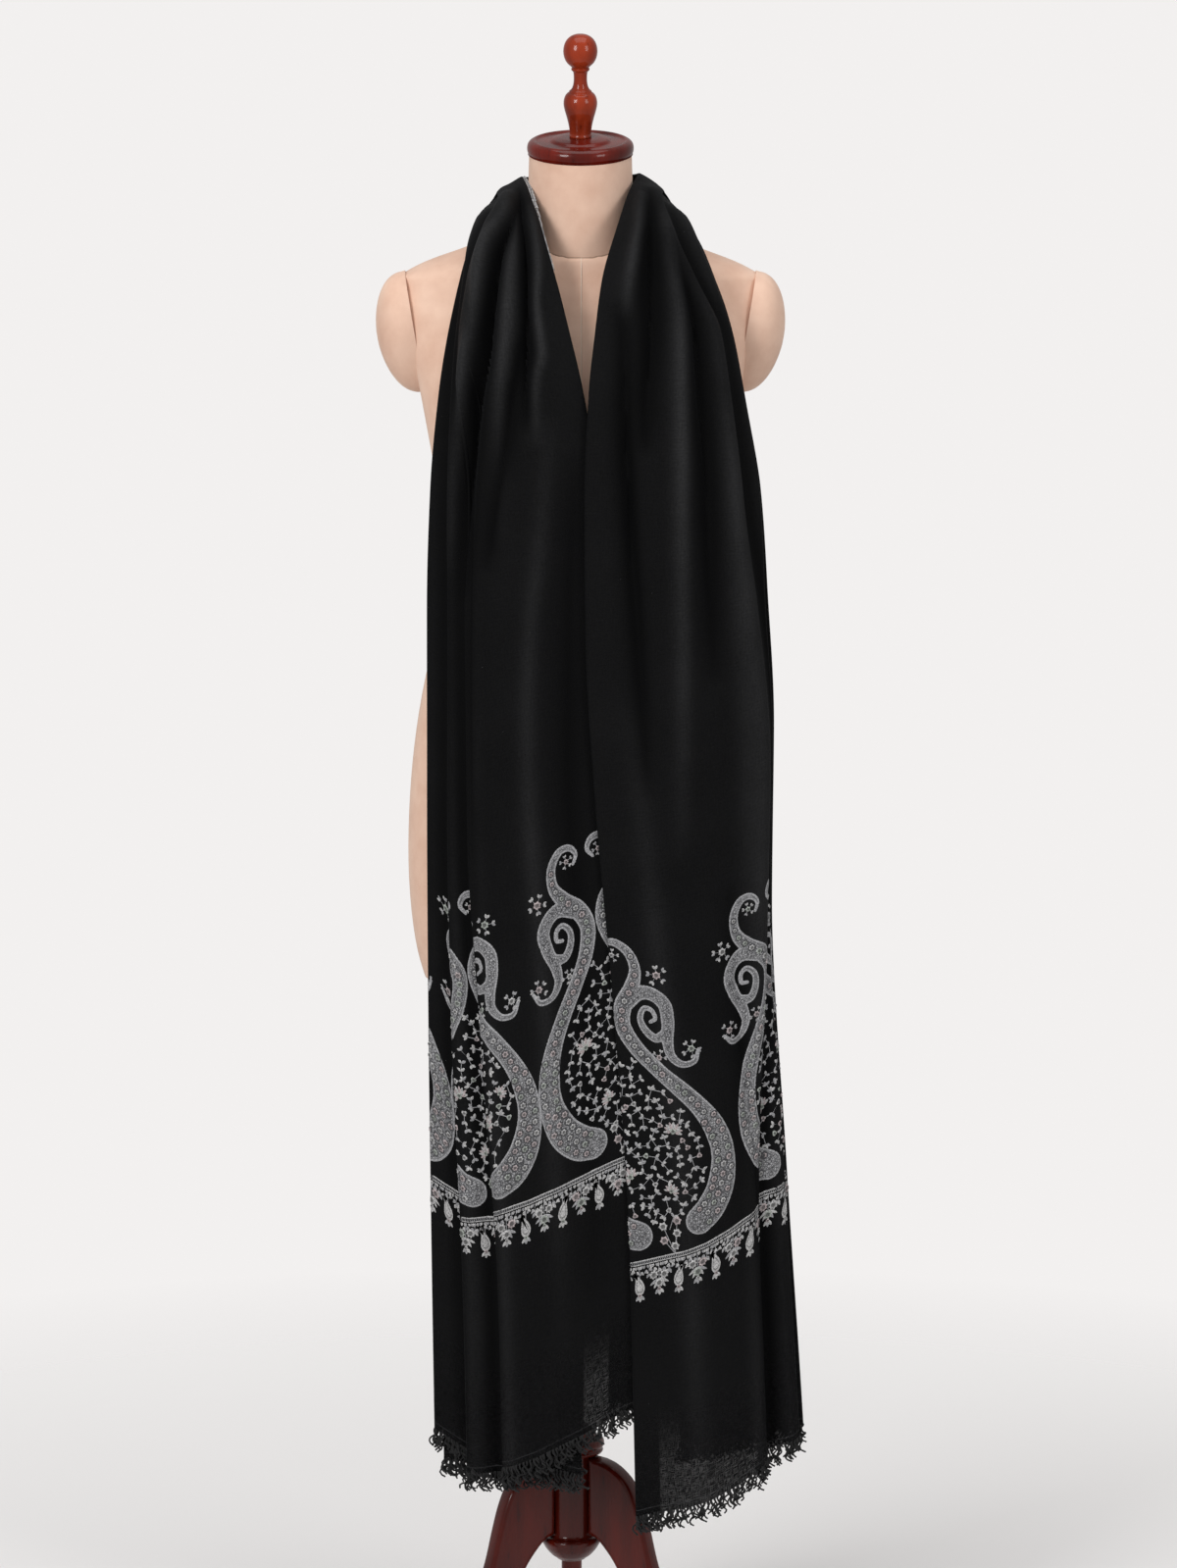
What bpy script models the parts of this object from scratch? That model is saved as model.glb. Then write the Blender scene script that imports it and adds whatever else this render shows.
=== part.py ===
"""A pashmina shawl draped round the neck of a limbless dress form on a turned wooden stand.

Metres, +Z up, the front towards -Y. The shawl is one folded sheet, drawn as three walls that meet
at the shoulders: the left front, the back and the right front. Left and right are the viewer's.
"""

import math

import bmesh
import bpy
import numpy as np
from mathutils import Matrix, Vector

for old in list(bpy.data.objects):
    bpy.data.objects.remove(old, do_unlink=True)

# ---------------------------------------------------------------- driving sizes

SEAM_GAP = 0.0003  # left between pieces that touch

CLOTH_WALL = 0.0012
FRINGE_REACH = 0.018
FRINGE_GAP = 0.001

LEFT_STEPS = 20  # sections along each stretch of the shawl
BACK_STEPS = 14
RIGHT_STEPS = 20
LEFT_SEAM_ROW = 12.5  # where the fronts end, as a place between rows of the guide
RIGHT_SEAM_ROW = 19.5

HANG_FULL = 0.62  # up to this far from a hem, the hem's slope is kept whole
HANG_NONE = 1.15  # from here on, the sections are level

NECK_TILT = math.radians(13)
NECK_BASE = Vector((0, 0.003, 1.540))
NECK_TOP = Vector((0, -0.0143, 1.615))
NECK_BASE_RADIUS = 0.0555
NECK_TOP_RADIUS = 0.0530
NECK_SEAM_SLOPE = 0.55  # the neck seam is lower in front

ARMHOLE_TOP = Vector((0.1880, 0, 1.4955))
ARMHOLE_BOTTOM = Vector((0.1660, 0, 1.3690))
ARMHOLE_Y = 0.005
ARMHOLE_HALF_DEPTH = 0.046
CAP_BULGE = 0.034
CAP_SIDES = 24

POLE_X = -0.010  # the form sits a little to one side on its pole
POLE_RADIUS = 0.0135
HUB_RADIUS = 0.0245
LEG_THICKNESS = 0.022
LEG_EDGE = 0.005
LEG_HEADINGS = {"leg_left": 210, "leg_right": -30, "leg_back": 90}

# ---------------------------------------------------------------- the shawl's guide

# One row for each section, from the left hem, over the neck and down to the right hem. inner, crown
# and outer are points of the section's front surface: at the edge by the neck, half-way and at the
# far edge. fold_a and fold_b are the two knife folds' places, as shares of the section's width,
# tuck_a and tuck_b are how deep they turn under, and pitch is from one layer to the next.
GUIDE_COLUMNS = ("inner", "crown", "outer", "fold_a", "tuck_a", "fold_b", "tuck_b", "pitch")
GUIDE = (
    ((0.062, -0.15, 0.255), (-0.055, -0.159, 0.255), (-0.157, -0.128, 0.255), 0.62, 0.021, 0.8, 0.009, 0.0026),
    ((0.06, -0.15, 0.49), (-0.05, -0.158, 0.49), (-0.158, -0.127, 0.49), 0.67, 0.021, 0.84, 0.009, 0.0026),
    ((0.05, -0.149, 0.725), (-0.056, -0.156, 0.725), (-0.16, -0.125, 0.725), 0.73, 0.02, 0.87, 0.009, 0.0026),
    ((0.029, -0.147, 0.92), (-0.066, -0.154, 0.92), (-0.161, -0.123, 0.92), 0.765, 0.018, 0.875, 0.008, 0.0026),
    ((0.02, -0.147, 1.13), (-0.071, -0.153, 1.13), (-0.161, -0.12, 1.13), 0.765, 0.016, 0.865, 0.008, 0.0026),
    ((0.016, -0.148, 1.27), (-0.073, -0.153, 1.27), (-0.158, -0.115, 1.27), 0.765, 0.014, 0.87, 0.007, 0.0026),
    ((0.001, -0.146, 1.376), (-0.078, -0.145, 1.376), (-0.15, -0.103, 1.376), 0.8, 0.012, 0.89, 0.006, 0.0024),
    ((-0.0125, -0.13, 1.435), (-0.082, -0.127, 1.437), (-0.142, -0.084, 1.437), 0.83, 0.01, 0.91, 0.006, 0.0022),
    ((-0.026, -0.106, 1.488), (-0.083, -0.101, 1.493), (-0.133, -0.067, 1.483), 0.83, 0.009, 0.915, 0.006, 0.0022),
    ((-0.042, -0.077, 1.541), (-0.086, -0.068, 1.545), (-0.124, -0.038, 1.522), 0.83, 0.009, 0.915, 0.006, 0.0022),
    ((-0.055, -0.036, 1.58), (-0.088, -0.029, 1.573), (-0.118, 0.004, 1.541), 0.82, 0.009, 0.91, 0.006, 0.0022),
    ((-0.0625, 0.01, 1.594), (-0.092, 0.014, 1.579), (-0.121, 0.046, 1.538), 0.8, 0.009, 0.9, 0.006, 0.0022),
    ((-0.061, 0.048, 1.594), (-0.094, 0.066, 1.56), (-0.134, 0.094, 1.494), 0.77, 0.009, 0.89, 0.006, 0.0022),
    ((-0.044, 0.077, 1.591), (-0.078, 0.106, 1.53), (-0.119, 0.132, 1.42), 0.74, 0.009, 0.88, 0.006, 0.0023),
    ((-0.022, 0.09, 1.59), (-0.042, 0.126, 1.502), (-0.063, 0.148, 1.368), 0.72, 0.009, 0.87, 0.006, 0.0024),
    ((0.0, 0.093, 1.59), (0.0, 0.131, 1.493), (0.0, 0.152, 1.35), 0.72, 0.009, 0.87, 0.006, 0.0024),
    ((0.022, 0.09, 1.59), (0.043, 0.126, 1.501), (0.066, 0.148, 1.366), 0.72, 0.009, 0.88, 0.006, 0.0024),
    ((0.044, 0.077, 1.592), (0.081, 0.107, 1.529), (0.123, 0.133, 1.418), 0.74, 0.01, 0.89, 0.006, 0.0023),
    ((0.061, 0.048, 1.595), (0.098, 0.067, 1.559), (0.139, 0.095, 1.493), 0.76, 0.011, 0.9, 0.006, 0.0022),
    ((0.0625, 0.01, 1.596), (0.096, 0.014, 1.58), (0.127, 0.046, 1.538), 0.76, 0.012, 0.91, 0.006, 0.0022),
    ((0.053, -0.038, 1.58), (0.092, -0.03, 1.574), (0.126, 0.004, 1.542), 0.75, 0.013, 0.92, 0.006, 0.0022),
    ((0.039, -0.08, 1.541), (0.092, -0.07, 1.546), (0.134, -0.038, 1.524), 0.76, 0.014, 0.93, 0.006, 0.0022),
    ((0.024, -0.112, 1.488), (0.096, -0.103, 1.493), (0.149, -0.067, 1.483), 0.81, 0.014, 0.94, 0.005, 0.0022),
    ((0.017, -0.137, 1.435), (0.097, -0.131, 1.437), (0.162, -0.084, 1.437), 0.835, 0.014, 0.95, 0.005, 0.0022),
    ((0.011, -0.153, 1.376), (0.096, -0.151, 1.376), (0.174, -0.101, 1.376), 0.85, 0.014, 0.96, 0.004, 0.0024),
    ((0.007, -0.157, 1.27), (0.098, -0.16, 1.27), (0.19, -0.115, 1.27), 0.86, 0.014, 0.97, 0.004, 0.0026),
    ((0.008, -0.156, 1.13), (0.104, -0.16, 1.13), (0.197, -0.12, 1.13), 0.905, 0.012, 0.97, 0.003, 0.0026),
    ((0.018, -0.156, 0.95), (0.112, -0.161, 0.95), (0.204, -0.123, 0.95), 0.935, 0.01, 0.975, 0.003, 0.0026),
    ((0.034, -0.157, 0.766), (0.12, -0.162, 0.766), (0.203, -0.126, 0.766), 0.92, 0.009, 0.97, 0.003, 0.0026),
    ((0.0525, -0.157, 0.49), (0.137, -0.163, 0.49), (0.218, -0.13, 0.49), 0.8, 0.008, 0.96, 0.003, 0.0026),
    ((0.058, -0.157, 0.21), (0.148, -0.164, 0.21), (0.238, -0.132, 0.21), 0.76, 0.008, 0.95, 0.003, 0.0026),
)
assert all(len(row) == len(GUIDE_COLUMNS) for row in GUIDE)

# One row for each corner of the folded section, from the selvedge by the neck to the far selvedge.
# place is a share of the width, or a fold's name, with "in" for the inner end of its tuck; on the
# front it is a share of the way to tuck a. level counts layers back from the front, and hem_left
# and hem_right are how far the hem rises there.
FOLD_COLUMNS = ("corner", "place", "level", "hem_left", "hem_right")
FOLDS = (
    ("near selvedge", 0.13, 1.0, 0.078, 0.006),
    ("inner fold, back", 0.0, 1.0, 0.076, 0.001),
    ("inner fold, front", 0.0, 0.0, 0.074, 0.000),
    ("front", 0.2, 0.0, 0.063, 0.002),
    ("front", 0.4, 0.0, 0.050, 0.005),
    ("front", 0.6, 0.0, 0.036, 0.010),
    ("front", 0.8, 0.0, 0.022, 0.019),
    ("front", 1.0, 0.0, 0.011, 0.030),
    ("fold a, front", "a", 0.0, 0.006, 0.036),
    ("fold a, back", "a", 1.0, 0.005, 0.037),
    ("tuck a, front", "a in", 1.0, 0.000, 0.041),
    ("tuck a, back", "a in", 2.0, -0.001, 0.042),
    ("over tuck b", "b in", 2.0, -0.006, 0.060),
    ("fold b, front", "b", 2.0, -0.006, 0.066),
    ("fold b, back", "b", 3.0, -0.004, 0.067),
    ("tuck b, front", "b in", 3.0, 0.010, 0.070),
    ("tuck b, back", "b in", 4.0, 0.012, 0.071),
    ("outer fold, front", 1.0, 4.0, 0.040, 0.080),
    ("outer fold, back", 1.0, 5.0, 0.041, 0.081),
    ("second layer", 0.82, 5.0, 0.026, 0.080),
    ("second layer", 0.62, 5.0, 0.010, 0.079),
    ("second layer", 0.45, 3.7, -0.002, 0.078),
    ("second layer, inner fold", 0.26, 2.2, -0.014, 0.076),
    ("third layer, inner fold", 0.26, 3.2, -0.015, 0.077),
    ("third layer", 0.45, 4.7, -0.014, 0.084),
    ("third layer", 0.62, 6.0, -0.013, 0.090),
    ("third layer", 0.82, 6.0, -0.012, 0.098),
    ("third layer, outer fold", 0.965, 6.0, -0.010, 0.104),
    ("fourth layer, outer fold", 0.965, 7.0, -0.009, 0.105),
    ("fourth layer", 0.82, 7.0, -0.006, 0.107),
    ("fourth layer", 0.62, 7.0, -0.002, 0.110),
    ("fourth layer", 0.45, 5.7, 0.002, 0.112),
    ("fourth layer, inner fold", 0.26, 4.2, 0.006, 0.114),
    ("fifth layer, inner fold", 0.26, 5.2, 0.007, 0.115),
    ("fifth layer", 0.45, 6.7, 0.010, 0.116),
    ("fifth layer", 0.62, 8.0, 0.013, 0.117),
    ("fifth layer", 0.82, 8.0, 0.018, 0.118),
    ("far selvedge", 0.88, 8.0, 0.020, 0.118),
)
assert all(len(row) == len(FOLD_COLUMNS) for row in FOLDS)

# The largest soft folds, as troughs in the outer layers: each runs from one (row, share of the
# width) to another, and fades out at both ends.
TROUGH_COLUMNS = ("from_row", "from_place", "to_row", "to_place", "depth", "half_width")
TROUGHS = (
    (3.6, 0.42, 9.6, 0.56, 0.005, 0.10),
    (5.4, 0.20, 9.4, 0.36, 0.004, 0.09),
    (21.4, 0.42, 25.6, 0.30, 0.004, 0.10),
    (12.0, 0.36, 18.2, 0.32, 0.006, 0.11),
    (11.8, 0.62, 18.8, 0.60, 0.006, 0.11),
)
assert all(len(row) == len(TROUGH_COLUMNS) for row in TROUGHS)


def eased(knots, values, at):
    """Values at the places asked for, on a smooth curve through the knots that never overshoots."""
    steps = np.diff(knots)
    slopes = np.diff(values, axis=0) / steps[:, None]
    before, after = slopes[:-1], slopes[1:]
    same_way = before * after > 0
    mean = 2 * before * after / np.where(same_way, before + after, 1)
    tangents = np.vstack([slopes[:1], np.where(same_way, mean, 0), slopes[-1:]])
    index = np.clip(np.searchsorted(knots, at, side="right") - 1, 0, len(steps) - 1)
    width = steps[index][:, None]
    x = (np.asarray(at)[:, None] - knots[index][:, None]) / width
    return (
        values[index] * (1 + 2 * x) * (1 - x) ** 2
        + values[index + 1] * x**2 * (3 - 2 * x)
        + tangents[index] * width * x * (1 - x) ** 2
        + tangents[index + 1] * width * x**2 * (x - 1)
    )


ROWS = np.array([[*inner, *crown, *outer, *rest] for inner, crown, outer, *rest in GUIDE])
ALONG = np.concatenate([[0], np.cumsum(np.linalg.norm(np.diff(ROWS[:, 3:6], axis=0), axis=1))])
SHEET_LENGTH = ALONG[-1]


def distance_at_row(row):
    return float(np.interp(row, range(len(ALONG)), ALONG))


def hem_share(distance):
    """How much of a hem's slope is left this far along: 1 by the hem, 0 over the chest."""
    from_hem = min(distance, SHEET_LENGTH - distance)
    x = min(max((HANG_NONE - from_hem) / (HANG_NONE - HANG_FULL), 0), 1)
    return x * x * (3 - 2 * x)


def trough_depth(row, place):
    deepest = 0.0
    for from_row, from_place, to_row, to_place, depth, half_width in TROUGHS:
        run = (row - from_row) / (to_row - from_row)
        if 0 < run < 1:
            off = (place - from_place - (to_place - from_place) * run) / half_width
            deepest = max(deepest, depth * math.sin(math.pi * run) ** 0.6 * math.exp(-off * off))
    return deepest


def folded_section(distance):
    """The corners of the folded cloth this far along the sheet."""
    near = np.clip([distance - 0.004, distance, distance + 0.004], 0, SHEET_LENGTH)
    before, here, after = eased(ALONG, ROWS, near)
    inner, crown, outer = here[0:3], here[3:6], here[6:9]
    fold_a, tuck_a, fold_b, tuck_b, pitch = here[9:]
    ahead = after[3:6] - before[3:6]
    ahead /= np.linalg.norm(ahead)
    width = np.linalg.norm(crown - inner) + np.linalg.norm(outer - crown)
    named = {"a": fold_a, "a in": fold_a - tuck_a / width, "b": fold_b, "b in": fold_b - tuck_b / width}
    row = float(np.interp(distance, ALONG, range(len(ALONG))))
    rise_column = 3 if distance < SHEET_LENGTH / 2 else 4
    corners = []
    for fold in FOLDS:
        place, level = named.get(fold[1], fold[1]), fold[2]
        if fold[0] == "front":
            place *= named["a in"]
        point = inner * (1 - place) * (1 - 2 * place) + crown * 4 * place * (1 - place)
        point = point + outer * place * (2 * place - 1)
        across = inner * (4 * place - 3) + crown * (4 - 8 * place) + outer * (4 * place - 1)
        outward = np.cross(ahead, across)
        outward /= np.linalg.norm(outward)
        depth = level * pitch + trough_depth(row, place) / (1 + 0.04 * level)
        rise = fold[rise_column] * hem_share(distance)
        corners.append(point - outward * depth + np.array((0, 0, rise)))
    return corners


# ---------------------------------------------------------------- making and finishing pieces


def material(name, colour, roughness, metallic=0.0):
    made = bpy.data.materials.new(name)
    made.use_nodes = True
    shader = made.node_tree.nodes["Principled BSDF"]
    shader.inputs["Base Color"].default_value = (*colour, 1)
    shader.inputs["Roughness"].default_value = roughness
    shader.inputs["Metallic"].default_value = metallic
    return made


BLACK_WOOL = material("black_wool", (0.010, 0.010, 0.011), 0.9)
CREAM_VELVET = material("cream_velvet", (0.72, 0.53, 0.40), 0.85)
RED_WOOD = material("red_wood", (0.26, 0.035, 0.015), 0.2)


def add_piece(name, mesh_data, look, smooth_angle=math.radians(40)):
    mesh = bpy.data.meshes.new(name)
    bmesh.ops.recalc_face_normals(mesh_data, faces=mesh_data.faces)
    mesh_data.to_mesh(mesh)
    mesh_data.free()
    mesh.materials.append(look)
    mesh.shade_smooth()
    mesh.set_sharp_from_angle(angle=smooth_angle)
    piece = bpy.data.objects.new(name, mesh)
    bpy.context.scene.collection.objects.link(piece)
    return piece


def skin(mesh_data, rings, closed=True):
    """Faces between neighbouring rings of points; returns the rings of vertices."""
    made = [[mesh_data.verts.new(point) for point in ring] for ring in rings]
    for low, high in zip(made, made[1:]):
        last = len(low) if closed else len(low) - 1
        for i in range(last):
            j = (i + 1) % len(low)
            mesh_data.faces.new((low[i], low[j], high[j], high[i]))
    return made


def loft(name, rings, look):
    """A closed solid through rings, with a flat face on each end."""
    mesh_data = bmesh.new()
    made = skin(mesh_data, rings)
    mesh_data.faces.new(made[0][::-1])
    mesh_data.faces.new(made[-1])
    return add_piece(name, mesh_data, look)


def turned(name, profile, look, place, sides=28):
    """A turned piece: profile rows are (radius, height) up its axis, and place sets it in the world."""
    rings = []
    for radius, height in profile:
        angles = (2 * math.pi * i / sides for i in range(sides))
        rings.append([place @ Vector((radius * math.cos(t), radius * math.sin(t), height)) for t in angles])
    return loft(name, rings, look)


def cloth_wall(name, sections):
    """A wall of cloth whose mid-surface runs through the sections."""
    mesh_data = bmesh.new()
    skin(mesh_data, sections, closed=False)
    piece = add_piece(name, mesh_data, BLACK_WOOL)
    wall = piece.modifiers.new("wall", "SOLIDIFY")
    wall.thickness = CLOTH_WALL
    wall.offset = 0
    return piece


# ---------------------------------------------------------------- the shawl


def stretch_of_shawl(name, from_row, to_row, steps, start_gap=0.0, end_gap=0.0):
    rows = np.linspace(from_row, to_row, steps + 1)
    distances = [distance_at_row(row) for row in rows]
    distances[0] += start_gap
    distances[-1] -= end_gap
    cloth_wall(name, [folded_section(distance) for distance in distances])


def fringe(name, hem_at, inwards):
    """A plain wall as long as the fringe, hung from the hem along every fold."""
    hem = folded_section(hem_at)
    above = folded_section(hem_at + inwards * FRINGE_REACH)
    downs = [(low - high) / np.linalg.norm(low - high) for low, high in zip(hem, above)]
    reaches = (FRINGE_GAP, FRINGE_REACH)
    cloth_wall(name, [[point + down * reach for point, down in zip(hem, downs)] for reach in reaches])


def make_shawl():
    last_row = len(GUIDE) - 1
    gap = 1.5 * SEAM_GAP  # the sections slant a little, so this leaves a whole seam gap at their edges
    stretch_of_shawl("shawl_front_left", 0, LEFT_SEAM_ROW, LEFT_STEPS, end_gap=gap)
    stretch_of_shawl("shawl_back", LEFT_SEAM_ROW, RIGHT_SEAM_ROW, BACK_STEPS, start_gap=gap, end_gap=gap)
    stretch_of_shawl("shawl_front_right", RIGHT_SEAM_ROW, last_row, RIGHT_STEPS, start_gap=gap)
    fringe("fringe_left", 0, 1)
    fringe("fringe_right", SHEET_LENGTH, -1)


# ---------------------------------------------------------------- the dress form

# One row for each ring of the torso: front and back are how far it reaches from the pole, square
# is its superellipse power, and slope tips the ring down towards the front.
TORSO_COLUMNS = ("height", "half_width", "front", "back", "square", "slope")
TORSO = (
    (0.757, 0.1650, 0.098, 0.112, 2.3, 0.0),
    (0.790, 0.1755, 0.104, 0.119, 2.3, 0.0),
    (0.860, 0.1825, 0.108, 0.123, 2.3, 0.0),
    (0.930, 0.1815, 0.108, 0.121, 2.3, 0.0),
    (1.000, 0.1760, 0.106, 0.112, 2.3, 0.0),
    (1.073, 0.1640, 0.101, 0.100, 2.3, 0.0),
    (1.140, 0.1460, 0.094, 0.088, 2.2, 0.0),
    (1.190, 0.1370, 0.092, 0.084, 2.2, 0.0),
    (1.240, 0.1410, 0.100, 0.087, 2.2, 0.0),
    (1.290, 0.1520, 0.113, 0.094, 2.2, 0.0),
    (1.330, 0.1590, 0.118, 0.099, 2.2, 0.0),
    (1.369, 0.1670, 0.110, 0.102, 2.3, 0.0),
    (1.400, 0.1800, 0.097, 0.103, 2.3, 0.0),
    (1.430, 0.1920, 0.084, 0.101, 2.2, 0.0),
    (1.456, 0.1990, 0.073, 0.096, 2.1, 0.0),
    (1.476, 0.2000, 0.065, 0.090, 2.0, 0.02),
    (1.490, 0.1940, 0.060, 0.084, 2.0, 0.05),
    (1.503, 0.1650, 0.057, 0.079, 2.0, 0.12),
    (1.514, 0.1250, 0.056, 0.074, 2.0, 0.22),
    (1.527, 0.0850, 0.055, 0.068, 2.0, 0.37),
)
assert all(len(row) == len(TORSO_COLUMNS) for row in TORSO)
TORSO_SIDES = 40


def torso_ring(height, half_width, front, back, square, slope):
    ring = []
    up_armhole = (height - ARMHOLE_BOTTOM.z) / (ARMHOLE_TOP.z - ARMHOLE_BOTTOM.z)
    widest = ARMHOLE_BOTTOM.x + (ARMHOLE_TOP.x - ARMHOLE_BOTTOM.x) * up_armhole
    for i in range(TORSO_SIDES):
        angle = 2 * math.pi * i / TORSO_SIDES
        across, along = math.cos(angle), math.sin(angle)
        x = half_width * math.copysign(abs(across) ** (2 / square), across)
        if height >= ARMHOLE_BOTTOM.z:
            x = math.copysign(min(abs(x), widest), x)
        y = (front + back) / 2 * math.copysign(abs(along) ** (2 / square), along) + (back - front) / 2
        ring.append(Vector((x, y, height + slope * y)))
    return ring


def neck_ring(centre, radius, slope):
    ring = []
    for i in range(TORSO_SIDES):
        angle = 2 * math.pi * i / TORSO_SIDES
        side, along = radius * math.cos(angle), radius * math.sin(angle)
        ring.append(centre + Vector((side, along, slope * along)))
    return ring


def shoulder_cap(name, side):
    """A dome over the flat, oval armhole."""
    top = Vector((side * ARMHOLE_TOP.x, ARMHOLE_Y, ARMHOLE_TOP.z))
    bottom = Vector((side * ARMHOLE_BOTTOM.x, ARMHOLE_Y, ARMHOLE_BOTTOM.z))
    centre, up = (top + bottom) / 2, (top - bottom) / 2
    outward = Vector((side * up.z, 0, -side * up.x)).normalized()
    rings = []
    for degrees in (0, 18, 36, 54, 70, 82):
        spread, lift = math.cos(math.radians(degrees)), math.sin(math.radians(degrees)) * CAP_BULGE
        ring = []
        for i in range(CAP_SIDES):
            angle = 2 * math.pi * i / CAP_SIDES
            rim = up * math.cos(angle) + Vector((0, ARMHOLE_HALF_DEPTH * math.sin(angle), 0))
            ring.append(centre + rim * spread + outward * (lift + SEAM_GAP))
        rings.append(ring)
    loft(name, rings, CREAM_VELVET)


def make_form():
    mesh_data = bmesh.new()
    rings = [torso_ring(*row) for row in TORSO]
    seam = NECK_BASE - Vector((0, 0, SEAM_GAP))
    rings.append(neck_ring(seam, NECK_BASE_RADIUS, NECK_SEAM_SLOPE))
    made = skin(mesh_data, rings)
    mesh_data.faces.new(made[0][::-1])
    mesh_data.faces.new(made[-1])
    add_piece("form_torso", mesh_data, CREAM_VELVET)
    shoulder_cap("form_shoulder_cap_left", -1)
    shoulder_cap("form_shoulder_cap_right", 1)
    neck = [
        neck_ring(NECK_BASE, NECK_BASE_RADIUS, NECK_SEAM_SLOPE),
        neck_ring(NECK_BASE.lerp(NECK_TOP, 0.5), (NECK_BASE_RADIUS + NECK_TOP_RADIUS) / 2, 0.39),
        neck_ring(NECK_TOP, NECK_TOP_RADIUS, math.tan(NECK_TILT)),
    ]
    loft("form_neck", neck, CREAM_VELVET)


# ---------------------------------------------------------------- turned wood

# Profiles as (radius, height) rows. The cap's and the finial's heights run up the tipped neck.
CAP_PROFILE = (
    (0.0500, 0.0003),
    (0.0535, 0.0020),
    (0.0548, 0.0065),
    (0.0540, 0.0110),
    (0.0505, 0.0145),
    (0.0465, 0.0150),
    (0.0440, 0.0135),
    (0.0320, 0.0140),
    (0.0285, 0.0165),
    (0.0200, 0.0180),
)
FINIAL_PROFILE = (
    (0.0116, 0.0183),
    (0.0113, 0.0210),
    (0.0120, 0.0305),
    (0.0150, 0.0420),
    (0.0172, 0.0515),
    (0.0168, 0.0570),
    (0.0140, 0.0630),
    (0.0110, 0.0655),
    (0.0085, 0.0690),
    (0.0069, 0.0770),
    (0.0070, 0.0840),
    (0.0082, 0.0880),
    (0.0105, 0.0920),
    (0.0150, 0.0980),
    (0.0175, 0.1070),
    (0.0157, 0.1150),
    (0.0110, 0.1210),
    (0.0050, 0.1242),
)
HUB_PROFILE = (
    (0.0110, 0.1245),
    (0.0170, 0.1275),
    (0.0250, 0.1350),
    (0.0320, 0.1450),
    (0.0320, 0.1480),
    (0.0245, 0.1520),
    (HUB_RADIUS, 0.2400),
    (0.0330, 0.2430),
    (0.0350, 0.2510),
    (0.0330, 0.2590),
    (0.0230, 0.2680),
    (0.0150, 0.2740),
)

# The outline of a leg, as (distance from the pole, height), down its back and up its front.
LEG_OUTLINE = (
    (0.0252, 0.2400),
    (0.0400, 0.2385),
    (0.0570, 0.2320),
    (0.0740, 0.2170),
    (0.0850, 0.1950),
    (0.0930, 0.1680),
    (0.1030, 0.1300),
    (0.1180, 0.0930),
    (0.1430, 0.0600),
    (0.1750, 0.0390),
    (0.2100, 0.0300),
    (0.2330, 0.0240),
    (0.2420, 0.0120),
    (0.2360, 0.0000),
    (0.1850, 0.0000),
    (0.1520, 0.0110),
    (0.1180, 0.0350),
    (0.0900, 0.0680),
    (0.0730, 0.1000),
    (0.0570, 0.1290),
    (0.0400, 0.1490),
    (0.0330, 0.1540),
    (0.0252, 0.1560),
)


def make_wood():
    tipped = Matrix.Translation(NECK_TOP) @ Matrix.Rotation(NECK_TILT, 4, "X")
    turned("neck_cap", CAP_PROFILE, RED_WOOD, tipped, sides=36)
    turned("finial", FINIAL_PROFILE, RED_WOOD, tipped, sides=24)
    upright = Matrix.Translation((POLE_X, 0, 0))
    turned("hub", HUB_PROFILE, RED_WOOD, upright)
    pole_bottom = HUB_PROFILE[-1][1] + SEAM_GAP
    pole_top = TORSO[0][0] - SEAM_GAP
    turned("pole", ((POLE_RADIUS, pole_bottom), (POLE_RADIUS, pole_top)), RED_WOOD, upright, sides=20)
    for name, heading in LEG_HEADINGS.items():
        make_leg(name, heading)


def make_leg(name, heading):
    """A flat, curved leg with rounded edges, standing out from the hub."""
    mesh_data = bmesh.new()
    half = LEG_THICKNESS / 2
    outline = mesh_data.faces.new([mesh_data.verts.new((r, -half, z)) for r, z in LEG_OUTLINE])
    grown = bmesh.ops.extrude_face_region(mesh_data, geom=[outline])["geom"]
    moved = [v for v in grown if isinstance(v, bmesh.types.BMVert)]
    bmesh.ops.translate(mesh_data, verts=moved, vec=(0, LEG_THICKNESS, 0))
    rims = [e for e in mesh_data.edges if abs(e.verts[0].co.y - e.verts[1].co.y) < 1e-6]
    bmesh.ops.bevel(
        mesh_data, geom=rims, offset=LEG_EDGE, offset_type="OFFSET", affect="EDGES",
        segments=2, profile=0.5, material=-1,
    )
    turn = Matrix.Translation((POLE_X, 0, 0)) @ Matrix.Rotation(math.radians(heading), 4, "Z")
    bmesh.ops.transform(mesh_data, matrix=turn, verts=mesh_data.verts)
    add_piece(name, mesh_data, RED_WOOD, smooth_angle=math.radians(35))


def centre_on_origin():
    """Shifts every piece sideways, so that the origin is under the middle of the whole."""
    bpy.context.view_layer.update()
    graph = bpy.context.evaluated_depsgraph_get()
    low, high = np.full(3, np.inf), np.full(3, -np.inf)
    for piece in bpy.context.scene.objects:
        shape = piece.evaluated_get(graph).to_mesh()
        points = np.array([vertex.co[:] for vertex in shape.vertices])
        low, high = np.minimum(low, points.min(axis=0)), np.maximum(high, points.max(axis=0))
        piece.evaluated_get(graph).to_mesh_clear()
    middle = (low + high) / 2
    for piece in bpy.context.scene.objects:
        piece.data.transform(Matrix.Translation((-middle[0], -middle[1], 0)))


make_shawl()
make_form()
make_wood()
centre_on_origin()
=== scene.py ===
import math
import random

import bmesh
import bpy
import numpy as np
from mathutils import Matrix, Vector
from mathutils.bvhtree import BVHTree


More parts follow.
